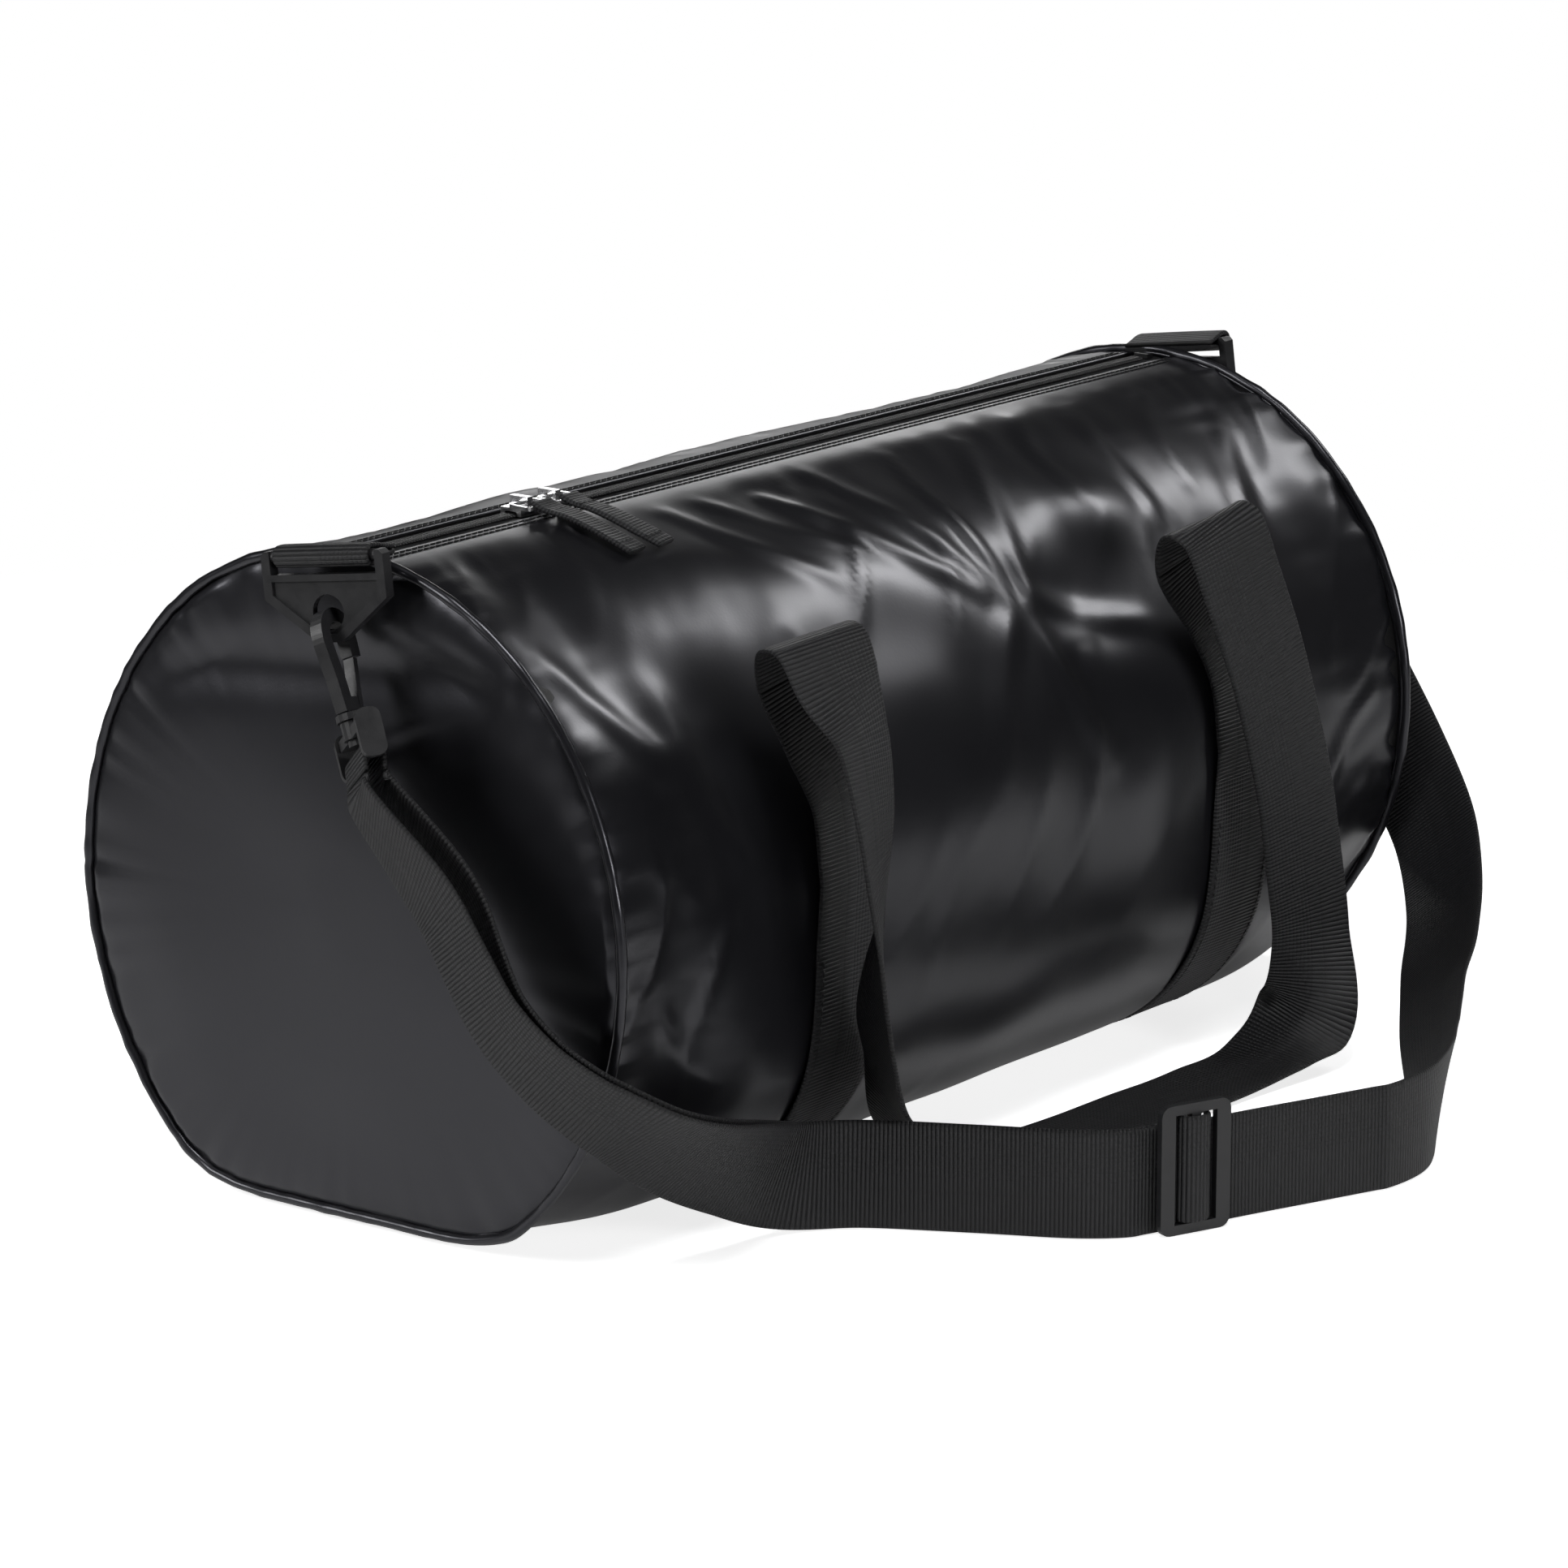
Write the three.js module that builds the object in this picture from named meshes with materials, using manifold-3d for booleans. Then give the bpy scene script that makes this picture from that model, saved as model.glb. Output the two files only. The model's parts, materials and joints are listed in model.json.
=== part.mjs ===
// Barrel duffel bag: a C-shaped body panel closed by a two-way zip, two round end panels,
// two webbing carry handles sewn round the underside, and a detachable shoulder strap.
// Millimetres, +X along the bag, -Y its front, +Z up, origin at the middle of its underside.
import * as THREE from "three";
import { mergeVertices } from "three/addons/utils/BufferGeometryUtils.js";
import Module from "manifold-3d";

const wasm = await Module();
wasm.setup();

// Driving sizes
const BAG_LENGTH = 508;
const END_WIDTH = 250;
const BELLY_WIDTH = 258;
const BAG_HEIGHT = 247;
const AXIS_HEIGHT = 115.5;
const WALL = 1.6;
const GAP = 0.3;
const WEB_WIDTH = 40;
const WEB_THICK = 1.8;

// Lower half of the body's section: round at the ends, slumped in the middle
const ROUND_POWER = 2;
const SLUMP_POWER = 3.2;
const ROUND_DROP = 131;
const SLUMP_DROP = 119;
const SLUMP_FROM = 150;
const END_LIFT = 4;
const LIFT_FROM = 200;

// End panels and their seams
const CROWN = 0.6;
const PIPING_RADIUS = 1.6;
const BINDING_WIDTH = 10;
const BINDING_THICK = 1;

// Zip
const SLOT_HALF = 10;
const TAPE_INNER = 0.6;
const TAPE_OUTER = 17;
const TAPE_THICK = 0.9;
const COIL_INNER = 0.15;
const COIL_OUTER = 2.5;
const COIL_HEIGHT = 1.6;
const STOP_LENGTH = 4;
const ZIP_HALF_LENGTH = BAG_LENGTH / 2 - STOP_LENGTH - 6;
const SLIDER_LENGTH = 12;
const SLIDER_HALF_WIDTH = 4.8;
const SLIDER_PLATE = 1.3;
const CROWN_HEIGHT = 3.6;
const CROWN_WIDTH = 3;
const WIRE = 1.4;
const PULL_RING_REACH = 9;
const PULL_RING_DIP = 0.05;
const PULL_WIDTH = 11;
const PULL_RING_WIDTH = PULL_WIDTH + 1.4;
const LEFT_SLIDER_X = -155;
const SLIDER_X = [LEFT_SLIDER_X, LEFT_SLIDER_X + PULL_RING_WIDTH + 2 * WIRE + 0.8];
const PULL_LENGTH = 43;
const PULL_THICK = 2.4;

// Handles
const BAND_X = 128;
const BAND_TOP = 125;
const BACK_FOLD_SHARE = 0.72;
const BACK_FOLD_STAND = 7;
const PRESSED_BELOW = 15;
const PRESSED_ABOVE = 60;

// Strap ring, a moulded triangle hanging in its webbing tab.
// Its bar stands far enough out for the turned yoke below it, which is as wide as the webbing.
const BAR_OUT = BAG_LENGTH / 2 + 0.35 * WEB_WIDTH + 0.5;
const BAR_Y = -4.8;
const BAR_Z = BAG_HEIGHT + 2.6;
const BAR_THICK = 4;
const RING_THICK = 5;
const RING_PLATE = 3;
const RING_WALL = 3.5;
const RING_HALF_WIDTH = WEB_WIDTH / 2 + RING_WALL + 2;
const RING_SHOULDER = -15;
const RING_TIP = -30.5;
const RING_TIP_HALF = 5;
const WINDOW_BOTTOM = -6.3;
const CROSSBAR = 2.4;
const HOLE_Z = -20;
const HOLE_RADIUS = 6.5;
const RING_YAW = 8.6;
const RING_SWAY = 7;
const RING_LEAN = 1.5;

// Swivel snap hook
const RIM_Z = (HOLE_Z - HOLE_RADIUS + RING_TIP) / 2;
const HOOK_BEND = 7.2;
const HOOK_THICK = 5;
const HOOK_WIDTH = 5;
const HOOK_SWAY = 17;
const HOOK_LEAN = 11;
const NOSE_Z = -8;
const COLLAR_Z = -30;
const COLLAR_RADIUS = 6.3;
const COLLAR_THICK = 2.5;
const SHAFT_RADIUS = 2.6;
const KNOB_RADIUS = 4;
const KNOB_THICK = 2.2;
const GATE_THICK = 2.2;
const GATE_BASE = -27.8;
const SWIVEL_TURN = -43;

// Swivel base, the yoke that carries the webbing
const BARREL_RADIUS = 5.3;
const BARREL_LENGTH = 6.4;
const BRIDGE_HEIGHT = 4;
const ARM_THICK = 3.2;
const ARM_WIDTH = 9.2;
const ARM_LENGTH = 17.6;
const CROSS_RADIUS = 2.2;
const LOOP_TAIL = 7;

// Strap adjuster
const ADJUSTER_WIDTH = 30;
const ADJUSTER_HEIGHT = WEB_WIDTH + 8.7;
const ADJUSTER_THICK = 3;
const ADJUSTER_BAR = 6;
const ADJUSTER_RAIL = 3.8;
const CENTRE_BAR = 4;
const WRAP_WIDTH = 13;

// Routes of the loose webbing: a point on the middle line, then the direction across the webbing.
// The front handle rises from its left band, folds over, hangs to the floor, lies along it,
// climbs on the right, folds over and goes down to its right band.
const HANDLE = [
  [-127.5, -131.5, BAND_TOP, 1, 0, 0],
  [-129, -129, 155, 1, -0.05, 0],
  [-137, -125, 180, 0.97, -0.2, 0.1],
  [-146, -122, 203, 0.93, -0.3, 0.15],
  [-152, -127, 216, 0.93, -0.3, 0.15],
  [-155, -137, 216, 0.95, -0.25, 0.12],
  [-154.5, -144, 203, 0.97, -0.15, 0.12],
  [-151, -152, 184, 0.98, 0.18, 0],
  [-151.5, -158, 157, 0.95, 0.3, -0.06],
  [-151.5, -160, 133, 0.89, 0.45, 0],
  [-149, -159, 112, 0.8, 0.58, 0.1],
  [-145, -155, 90, 0.65, 0.72, 0.2],
  [-137, -149, 66, 0.4, 0.76, 0.5],
  [-124, -144.5, 45, 0.15, 0.7, 0.7],
  [-108, -142, 20, 0.02, 0.9, 0.43],
  [-84, -144, 6, 0, 1, 0.1],
  [-40, -147, 2.4, 0, 1, 0],
  [20, -150, 2, 0, 1, 0],
  [75, -153, 2.4, 0, 1, 0],
  [108, -157, 7, -0.35, 0.93, -0.12],
  [130, -161, 21, -0.8, 0.55, -0.25],
  [137.5, -157, 49, -0.96, 0.25, -0.11],
  [134.5, -155, 79, -0.96, 0.23, -0.16],
  [126.5, -153, 120, -0.95, 0.2, -0.25],
  [115.5, -150, 157, -0.93, 0.19, -0.31],
  [103, -145, 193, -0.92, 0.2, -0.3],
  [98, -138, 215, -0.93, 0.22, -0.25],
  [98, -129, 217, -0.94, 0.25, -0.2],
  [104, -122, 204, -0.95, 0.25, -0.15],
  [120, -124.5, 178, -0.98, 0.15, -0.08],
  [127.5, -129, 152, -1, 0.05, 0],
  [128.5, -131.5, BAND_TOP, -1, 0, 0],
];
const RISE_LEFT_END = 3;
const FOLD_LEFT_END = 6;
const STRAND_LEFT_END = 12;
const STRAND_RIGHT_START = 21;
const FOLD_RIGHT_START = 25;
const RISE_RIGHT_START = 28;

// The strap leaves the left hook outside the end, lies round the front and climbs to the right hook
const STRAP = [
  [-284, -66.5, 136, -0.4, -0.77, 0.5],
  [-284, -80, 117, -0.37, -0.79, 0.49],
  [-283, -93, 98.5, -0.34, -0.79, 0.5],
  [-279, -107, 83.5, -0.28, -0.82, 0.51],
  [-270, -121, 70, -0.12, -0.85, 0.5],
  [-257, -133, 58.5, 0.07, -0.84, 0.54],
  [-232, -136, 45, 0.24, -0.69, 0.68],
  [-199, -135, 32, 0.3, -0.43, 0.85],
  [-168, -134, 21.5, 0.15, -0.12, 0.98],
  [-148, -150, 20.2, 0, 0, 1],
  [-128, -186, 20.2, 0, 0, 1],
  [-110, -220, 20.2, 0, 0, 1],
  [-98, -233.6, 20.2, 0, 0, 1],
  [-92, -236, 20.2, 0, 0, 1],
  [-45, -254.6, 20.2, 0, 0, 1],
  [2, -273.2, 20.2, 0, 0, 1],
  [8, -275.5, 20.2, 0, 0, 1],
  [34, -275, 20.2, 0.05, 0, 1],
  [66, -262, 20.2, 0.12, -0.1, 1],
  [100, -238, 20.5, 0.2, -0.4, 0.9],
  [150, -206, 24, 0.2, -0.6, 0.78],
  [200, -178, 33, 0.2, -0.75, 0.6],
  [238, -156, 46, 0.1, -0.8, 0.58],
  [264, -134, 64, 0.1, -0.85, 0.5],
  [279, -107, 90, 0.3, -0.83, 0.48],
  [285, -82, 120, 0.4, -0.8, 0.45],
  [285, -62, 148, 0.5, -0.8, 0.2],
];
const DROP_END = 8;
const FRONT_END = 17;
const STRAIGHT = [13, 15];
const ADJUSTER_X = -76;

const COATED = { color: 0x1b1b1e, roughness: 0.32, metalness: 0 };
const WEBBING = { color: 0x1e1e21, roughness: 0.8, metalness: 0 };
const MOULDED = { color: 0x2c2c2f, roughness: 0.5, metalness: 0 };
const NYLON = { color: 0x131315, roughness: 0.35, metalness: 0 };
const STEEL = { color: 0xc4c4c6, roughness: 0.22, metalness: 1 };

const vec = (x, y, z) => new THREE.Vector3(x, y, z);
const smooth = THREE.MathUtils.smoothstep;
const lerp = THREE.MathUtils.lerp;
const rad = THREE.MathUtils.degToRad;
const bag = new THREE.Group();

function addMesh(name, geometry, look, parent = bag) {
  const mesh = new THREE.Mesh(geometry, new THREE.MeshStandardMaterial(look));
  mesh.name = name;
  parent.add(mesh);
  return mesh;
}

// ---- closed bodies from grids of points ----

function geometryOf(points, faces) {
  const geometry = new THREE.BufferGeometry();
  geometry.setAttribute(
    "position",
    new THREE.Float32BufferAttribute(points.flatMap((p) => [p.x, p.y, p.z]), 3),
  );
  geometry.setIndex(faces.flat());
  return geometry;
}

// A wall between two grids of points; top faces along (across rows) x (along a row)
function wallSolid(top, bottom, ringed = false) {
  const rows = top.length;
  const count = top[0].length;
  const points = [...top.flat(), ...bottom.flat()];
  const upper = (i, j) => (i % rows) * count + j;
  const lower = (i, j) => rows * count + upper(i, j);
  const faces = [];
  const quad = (a, b, c, d) => faces.push([a, b, c], [a, c, d]);
  const steps = ringed ? rows : rows - 1;
  for (let i = 0; i < steps; i += 1) {
    for (let j = 0; j < count - 1; j += 1) {
      quad(upper(i, j), upper(i + 1, j), upper(i + 1, j + 1), upper(i, j + 1));
      quad(lower(i, j), lower(i, j + 1), lower(i + 1, j + 1), lower(i + 1, j));
    }
    quad(upper(i, 0), lower(i, 0), lower(i + 1, 0), upper(i + 1, 0));
    const last = count - 1;
    quad(upper(i, last), upper(i + 1, last), lower(i + 1, last), lower(i, last));
  }
  if (!ringed) {
    for (let j = 0; j < count - 1; j += 1) {
      const end = rows - 1;
      quad(upper(0, j), upper(0, j + 1), lower(0, j + 1), lower(0, j));
      quad(upper(end, j), lower(end, j), lower(end, j + 1), upper(end, j + 1));
    }
  }
  return geometryOf(points, faces);
}

// A round cord closed on itself, from rings of points about its route
function closedCord(rings) {
  const sides = rings[0].length;
  const at = (i, j) => (i % rings.length) * sides + (j % sides);
  const faces = [];
  rings.forEach((ring, i) => {
    ring.forEach((point, j) => {
      faces.push([at(i, j), at(i + 1, j), at(i + 1, j + 1)]);
      faces.push([at(i, j), at(i + 1, j + 1), at(i, j + 1)]);
    });
  });
  return geometryOf(rings.flat(), faces);
}

// ---- booleans ----

function solidOf(geometry) {
  const bare = geometry.clone();
  bare.deleteAttribute("normal");
  bare.deleteAttribute("uv");
  const merged = mergeVertices(bare, 1e-4);
  return new wasm.Manifold(
    new wasm.Mesh({
      numProp: 3,
      vertProperties: Float32Array.from(merged.attributes.position.array),
      triVerts: Uint32Array.from(merged.index.array),
    }),
  );
}

function geometryFrom(solid) {
  const mesh = solid.getMesh();
  const geometry = new THREE.BufferGeometry();
  geometry.setAttribute("position", new THREE.BufferAttribute(mesh.vertProperties, 3));
  geometry.setIndex(new THREE.BufferAttribute(mesh.triVerts, 1));
  return geometry;
}

const join = (...shapes) => geometryFrom(
  shapes.map(solidOf).reduce((all, one) => all.add(one)),
);
const cut = (body, ...tools) => geometryFrom(
  tools.map(solidOf).reduce((left, tool) => left.subtract(tool), solidOf(body)),
);

// ---- simple shapes ----

function box(xLow, xHigh, yLow, yHigh, zLow, zHigh) {
  const shape = new THREE.BoxGeometry(xHigh - xLow, yHigh - yLow, zHigh - zLow);
  return shape.translate((xLow + xHigh) / 2, (yLow + yHigh) / 2, (zLow + zHigh) / 2);
}

function rod(radius, zLow, zHigh, sides = 20) {
  const shape = new THREE.CylinderGeometry(radius, radius, zHigh - zLow, sides);
  return shape.rotateX(Math.PI / 2).translate(0, 0, (zLow + zHigh) / 2);
}

// An outline drawn in (y, z), extruded along x about x = 0
function plateX(outline, thick, holes = []) {
  const shape = new THREE.Shape(outline.map(([y, z]) => new THREE.Vector2(y, z)));
  shape.holes = holes;
  const body = new THREE.ExtrudeGeometry(shape, { depth: thick, bevelEnabled: false });
  const turn = new THREE.Matrix4().makeBasis(vec(0, 1, 0), vec(0, 0, 1), vec(1, 0, 0));
  return body.translate(0, 0, -thick / 2).applyMatrix4(turn);
}

// An outline drawn in (x, z), extruded along y about y = 0
function plateY(outline, thick, holes = []) {
  const shape = new THREE.Shape(outline.map(([x, z]) => new THREE.Vector2(x, z)));
  shape.holes = holes;
  const body = new THREE.ExtrudeGeometry(shape, { depth: thick, bevelEnabled: false });
  return body.translate(0, 0, -thick / 2).rotateX(Math.PI / 2);
}

function roundPath(x, y, radius, sides = 20) {
  const points = [];
  for (let k = 0; k < sides; k += 1) {
    const turn = (2 * Math.PI * k) / sides;
    points.push([x + radius * Math.cos(turn), y + radius * Math.sin(turn)]);
  }
  return points;
}

const holePath = (points) => new THREE.Path(
  points.map(([x, y]) => new THREE.Vector2(x, y)),
);

function roundedBox(halfX, halfY, radius, steps = 4) {
  const points = [];
  const corners = [[1, 1], [-1, 1], [-1, -1], [1, -1]];
  corners.forEach(([sx, sy], corner) => {
    for (let k = 0; k <= steps; k += 1) {
      const turn = (Math.PI / 2) * (corner + k / steps);
      points.push([
        sx * (halfX - radius) + radius * Math.cos(turn),
        sy * (halfY - radius) + radius * Math.sin(turn),
      ]);
    }
  });
  return points;
}

// ---- webbing laid along a route of [x, y, z, across x, across y, across z] stations ----

function layRoute(stations, steps = 4) {
  const middle = new THREE.CatmullRomCurve3(stations.map((s) => vec(s[0], s[1], s[2])));
  const across = new THREE.CatmullRomCurve3(stations.map((s) => vec(s[3], s[4], s[5])));
  const total = (stations.length - 1) * steps;
  const route = [];
  for (let k = 0; k <= total; k += 1) {
    const at = k / total;
    const along = middle.getTangent(at);
    const side = across.getPoint(at);
    side.addScaledVector(along, -side.dot(along)).normalize();
    const face = vec(0, 0, 0).crossVectors(along, side);
    route.push({ point: middle.getPoint(at), side, face });
  }
  return route;
}

function webbing(route, width, thick) {
  const edge = (spot, side, height) => spot.point.clone()
    .addScaledVector(spot.side, side * width / 2)
    .addScaledVector(spot.face, height * thick / 2);
  const top = route.map((spot) => [edge(spot, -1, 1), edge(spot, 1, 1)]);
  const bottom = route.map((spot) => [edge(spot, -1, -1), edge(spot, 1, -1)]);
  return wallSolid(top, bottom);
}

// Leaves a gap at the two ends of a route so that butting lengths don't touch
function trimmed(route, start = GAP, finish = 0) {
  const cutBack = (from, to, by) => {
    const point = from.point.clone();
    const way = to.point.clone().sub(point);
    return { ...from, point: point.addScaledVector(way.normalize(), by) };
  };
  const out = [...route];
  const last = out.length - 1;
  out[0] = cutBack(route[0], route[1], start);
  out[last] = cutBack(route[last], route[last - 1], finish);
  return out;
}

// ---- the body's section ----

function sectionAt(x) {
  const round = smooth(Math.abs(x), SLUMP_FROM, BAG_LENGTH / 2);
  return {
    halfWidth: lerp(BELLY_WIDTH, END_WIDTH, round) / 2,
    power: lerp(SLUMP_POWER, ROUND_POWER, round),
    drop: lerp(SLUMP_DROP, ROUND_DROP, round),
    floor: END_LIFT * smooth(Math.abs(x), LIFT_FROM, BAG_LENGTH / 2),
  };
}

// Point of the outline at a polar angle about the bag's axis, 90 degrees at the zip
function outline(x, degrees) {
  const section = sectionAt(x);
  const c = Math.cos(rad(degrees));
  const s = Math.sin(rad(degrees));
  const rise = BAG_HEIGHT - AXIS_HEIGHT;
  const power = s >= 0 ? 2 : section.power;
  const height = s >= 0 ? rise : section.drop;
  const sum = Math.abs(c / section.halfWidth) ** power + Math.abs(s / height) ** power;
  let reach = sum ** (-1 / power);
  if (s < 0) reach = Math.min(reach, (AXIS_HEIGHT - section.floor) / -s);
  return vec(x, reach * c, AXIS_HEIGHT + reach * s);
}

function outlinePoint(x, degrees, offset) {
  const step = 2;
  const tangent = outline(x, degrees + step).sub(outline(x, degrees - step));
  const normal = vec(0, tangent.z, -tangent.y).normalize();
  return outline(x, degrees).addScaledVector(normal, offset);
}

// Angles round the section, shared by the panel and the bands that lie on it
function wrapAngles(from, to) {
  const step = 7.5;
  const list = [];
  for (let degrees = Math.ceil(from / step) * step; degrees <= to; degrees += step) {
    list.push(degrees);
  }
  return list;
}

// How far a band presses the panel in: fully underneath, not at all up the sides
const pressAt = (point) => 1 - smooth(point.z, PRESSED_BELOW, PRESSED_ABOVE);

// Height of the outline's top at a distance from the zip
function topZ(y, offset) {
  const halfWidth = BELLY_WIDTH / 2 + offset;
  const rise = BAG_HEIGHT - AXIS_HEIGHT + offset;
  return AXIS_HEIGHT + rise * Math.sqrt(1 - (y / halfWidth) ** 2);
}

function bodyStations() {
  const half = BAG_LENGTH / 2;
  const edge = WEB_WIDTH / 2 + 2 * GAP;
  const list = [0, half * 0.2, half, half - 12, half - 32, half - 60];
  for (const at of [BAND_X - edge, BAND_X + edge]) {
    const inward = at < BAND_X ? 1 : -1;
    list.push(at, at - inward * GAP);
  }
  list.push(BAND_X);
  const right = list.sort((a, b) => a - b);
  const left = right.slice(1).reverse().map((x) => -x);
  return [...left, ...right];
}

function bodyPanel() {
  const slot = (Math.asin(SLOT_HALF / (BAG_HEIGHT - AXIS_HEIGHT)) * 180) / Math.PI;
  const angles = [90 + slot, ...wrapAngles(91 + slot, 449 - slot), 450 - slot];
  const underBand = (x) => Math.abs(Math.abs(x) - BAND_X) < WEB_WIDTH / 2 + 2 * GAP + 0.01;
  const sheet = (offset) => bodyStations().map((x) => {
    const pressed = (degrees) => (underBand(x) ? pressAt(outline(x, degrees)) : 0);
    return angles.map(
      (degrees) => outlinePoint(x, degrees, offset - pressed(degrees) * (WEB_THICK + GAP)),
    );
  });
  return wallSolid(sheet(-WALL), sheet(0));
}

function endOutline(side, offset, count = 48) {
  const x = side * BAG_LENGTH / 2;
  const ring = [];
  for (let k = 0; k < count; k += 1) {
    ring.push(outlinePoint(x, (360 * k) / count, offset));
  }
  return ring;
}

// A crowned disc: rings shrinking to a centre point, outside and inside
function endPanel(side) {
  const rim = endOutline(side, -0.2);
  const shares = [1, 0.93, 0.8, 0.6, 0.35];
  const count = rim.length;
  const points = [];
  const spot = (point, share, depth) => vec(
    point.x + side * (depth + CROWN * (1 - share ** 2)),
    point.y * share,
    AXIS_HEIGHT + (point.z - AXIS_HEIGHT) * share,
  );
  for (const depth of [GAP + WALL, GAP]) {
    shares.forEach((share) => rim.forEach((point) => points.push(spot(point, share, depth))));
    points.push(spot(rim[0], 0, depth));
  }
  const layer = shares.length * count + 1;
  const faces = [];
  const put = (a, b, c) => faces.push(side > 0 ? [a, b, c] : [a, c, b]);
  for (let k = 0; k < count; k += 1) {
    const next = (k + 1) % count;
    for (let r = 0; r < shares.length - 1; r += 1) {
      const [a, b] = [r * count + k, r * count + next];
      const [c, d] = [a + count, b + count];
      put(a, b, d);
      put(a, d, c);
      put(layer + a, layer + d, layer + b);
      put(layer + a, layer + c, layer + d);
    }
    const inner = (shares.length - 1) * count;
    put(inner + k, inner + next, layer - 1);
    put(layer + inner + k, 2 * layer - 1, layer + inner + next);
    put(k, layer + k, layer + next);
    put(k, layer + next, next);
  }
  return geometryOf(points, faces);
}

function endPiping(side) {
  const route = endOutline(side, 2 * GAP + PIPING_RADIUS);
  const sides = 8;
  const rings = route.map((point, k) => {
    const ahead = route[(k + 1) % route.length];
    const behind = route[(k + route.length - 1) % route.length];
    const along = ahead.clone().sub(behind).normalize();
    const out = vec(0, along.z, -along.y);
    const ring = [];
    for (let j = 0; j < sides; j += 1) {
      const turn = (2 * Math.PI * j) / sides;
      const spot = point.clone().addScaledVector(out, PIPING_RADIUS * Math.cos(turn));
      ring.push(spot.add(vec(PIPING_RADIUS * Math.sin(turn), 0, 0)));
    }
    return ring;
  });
  return closedCord(rings);
}

// Tape that covers the seam allowance inside each end
function seamBinding(side) {
  const under = -WALL - GAP;
  const shift = side * (GAP + BINDING_WIDTH);
  const strip = (offset) => {
    const near = endOutline(side, offset);
    return near.map((point) => {
      const far = point.clone().add(vec(-shift, 0, 0));
      const edge = point.clone().add(vec(-side * GAP, 0, 0));
      return side > 0 ? [far, edge] : [edge, far];
    });
  };
  const ring = wallSolid(strip(under), strip(under - BINDING_THICK), true);
  const half = TAPE_OUTER + GAP;
  const reach = BAG_LENGTH;
  return cut(ring, box(-reach, reach, -half, half, AXIS_HEIGHT, BAG_HEIGHT));
}

// ---- zip ----

function zipTape(front) {
  const half = BAG_LENGTH / 2 - 1;
  const reach = [TAPE_INNER, 5, SLOT_HALF, TAPE_OUTER].map((y) => front * y);
  const across = reach.sort((a, b) => a - b);
  const sheet = (offset) => [-half, half].map(
    (x) => across.map((y) => vec(x, y, topZ(y, offset))),
  );
  return wallSolid(sheet(-WALL - GAP), sheet(-WALL - GAP - TAPE_THICK));
}

const coilBase = () => topZ(COIL_OUTER, -WALL - GAP) + GAP;

function zipCoil(front) {
  const [low, high] = [COIL_INNER, COIL_OUTER].map((y) => front * y).sort((a, b) => a - b);
  const base = topZ(0, -WALL - GAP) + GAP;
  return box(-ZIP_HALF_LENGTH, ZIP_HALF_LENGTH, low, high, base, base + COIL_HEIGHT);
}

function zipStop(side) {
  const near = side * (ZIP_HALF_LENGTH + GAP);
  const far = near + side * STOP_LENGTH;
  const base = topZ(0, -WALL - GAP) + GAP;
  const half = COIL_OUTER + 0.8;
  return box(Math.min(near, far), Math.max(near, far), -half, half, base, base + COIL_HEIGHT + 0.4);
}

const sliderBase = () => topZ(0, -WALL - GAP) + 2 * GAP + COIL_HEIGHT;

function zipSlider() {
  const base = sliderBase();
  const [l, w] = [SLIDER_LENGTH / 2, SLIDER_HALF_WIDTH];
  const top = base + SLIDER_PLATE;
  const plate = box(-l, l, -w, w, base, top);
  const flange = (y0, y1) => box(-l, l, y0, y1, coilBase() + GAP / 2, base + 0.1);
  const arch = cut(
    box(-CROWN_WIDTH / 2, CROWN_WIDTH / 2, -w + 0.6, w - 0.6, top - 0.1, top + CROWN_HEIGHT),
    box(-CROWN_WIDTH, CROWN_WIDTH, -w + 1.8, w - 1.8, top, top + CROWN_HEIGHT - 1.2),
  );
  const flangeIn = COIL_OUTER + GAP;
  return join(plate, flange(flangeIn, w), flange(-w, -flangeIn), arch);
}

function sliderPlate() {
  const top = topZ(SLIDER_HALF_WIDTH, -WALL - GAP - TAPE_THICK) - GAP;
  const [l, w] = [SLIDER_LENGTH / 2, SLIDER_HALF_WIDTH];
  return box(-l, l, -w, w, top - SLIDER_PLATE, top);
}

const wireZ = () => sliderBase() + SLIDER_PLATE + GAP + WIRE / 2;

function pullRing() {
  const half = PULL_RING_WIDTH / 2 + WIRE;
  const reach = PULL_RING_REACH;
  const outer = roundedBox(half, (reach + WIRE) / 2, 2.5);
  const inner = roundedBox(half - WIRE, (reach - WIRE) / 2, 1.2).reverse();
  const lift = ([x, y]) => new THREE.Vector2(x, y - reach / 2);
  const shape = new THREE.Shape(outer.map(lift));
  shape.holes = [new THREE.Path(inner.map(lift))];
  const body = new THREE.ExtrudeGeometry(shape, { depth: WIRE, bevelEnabled: false });
  return body.translate(0, 0, -WIRE / 2).rotateX(PULL_RING_DIP).translate(0, 0, wireZ());
}

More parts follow.
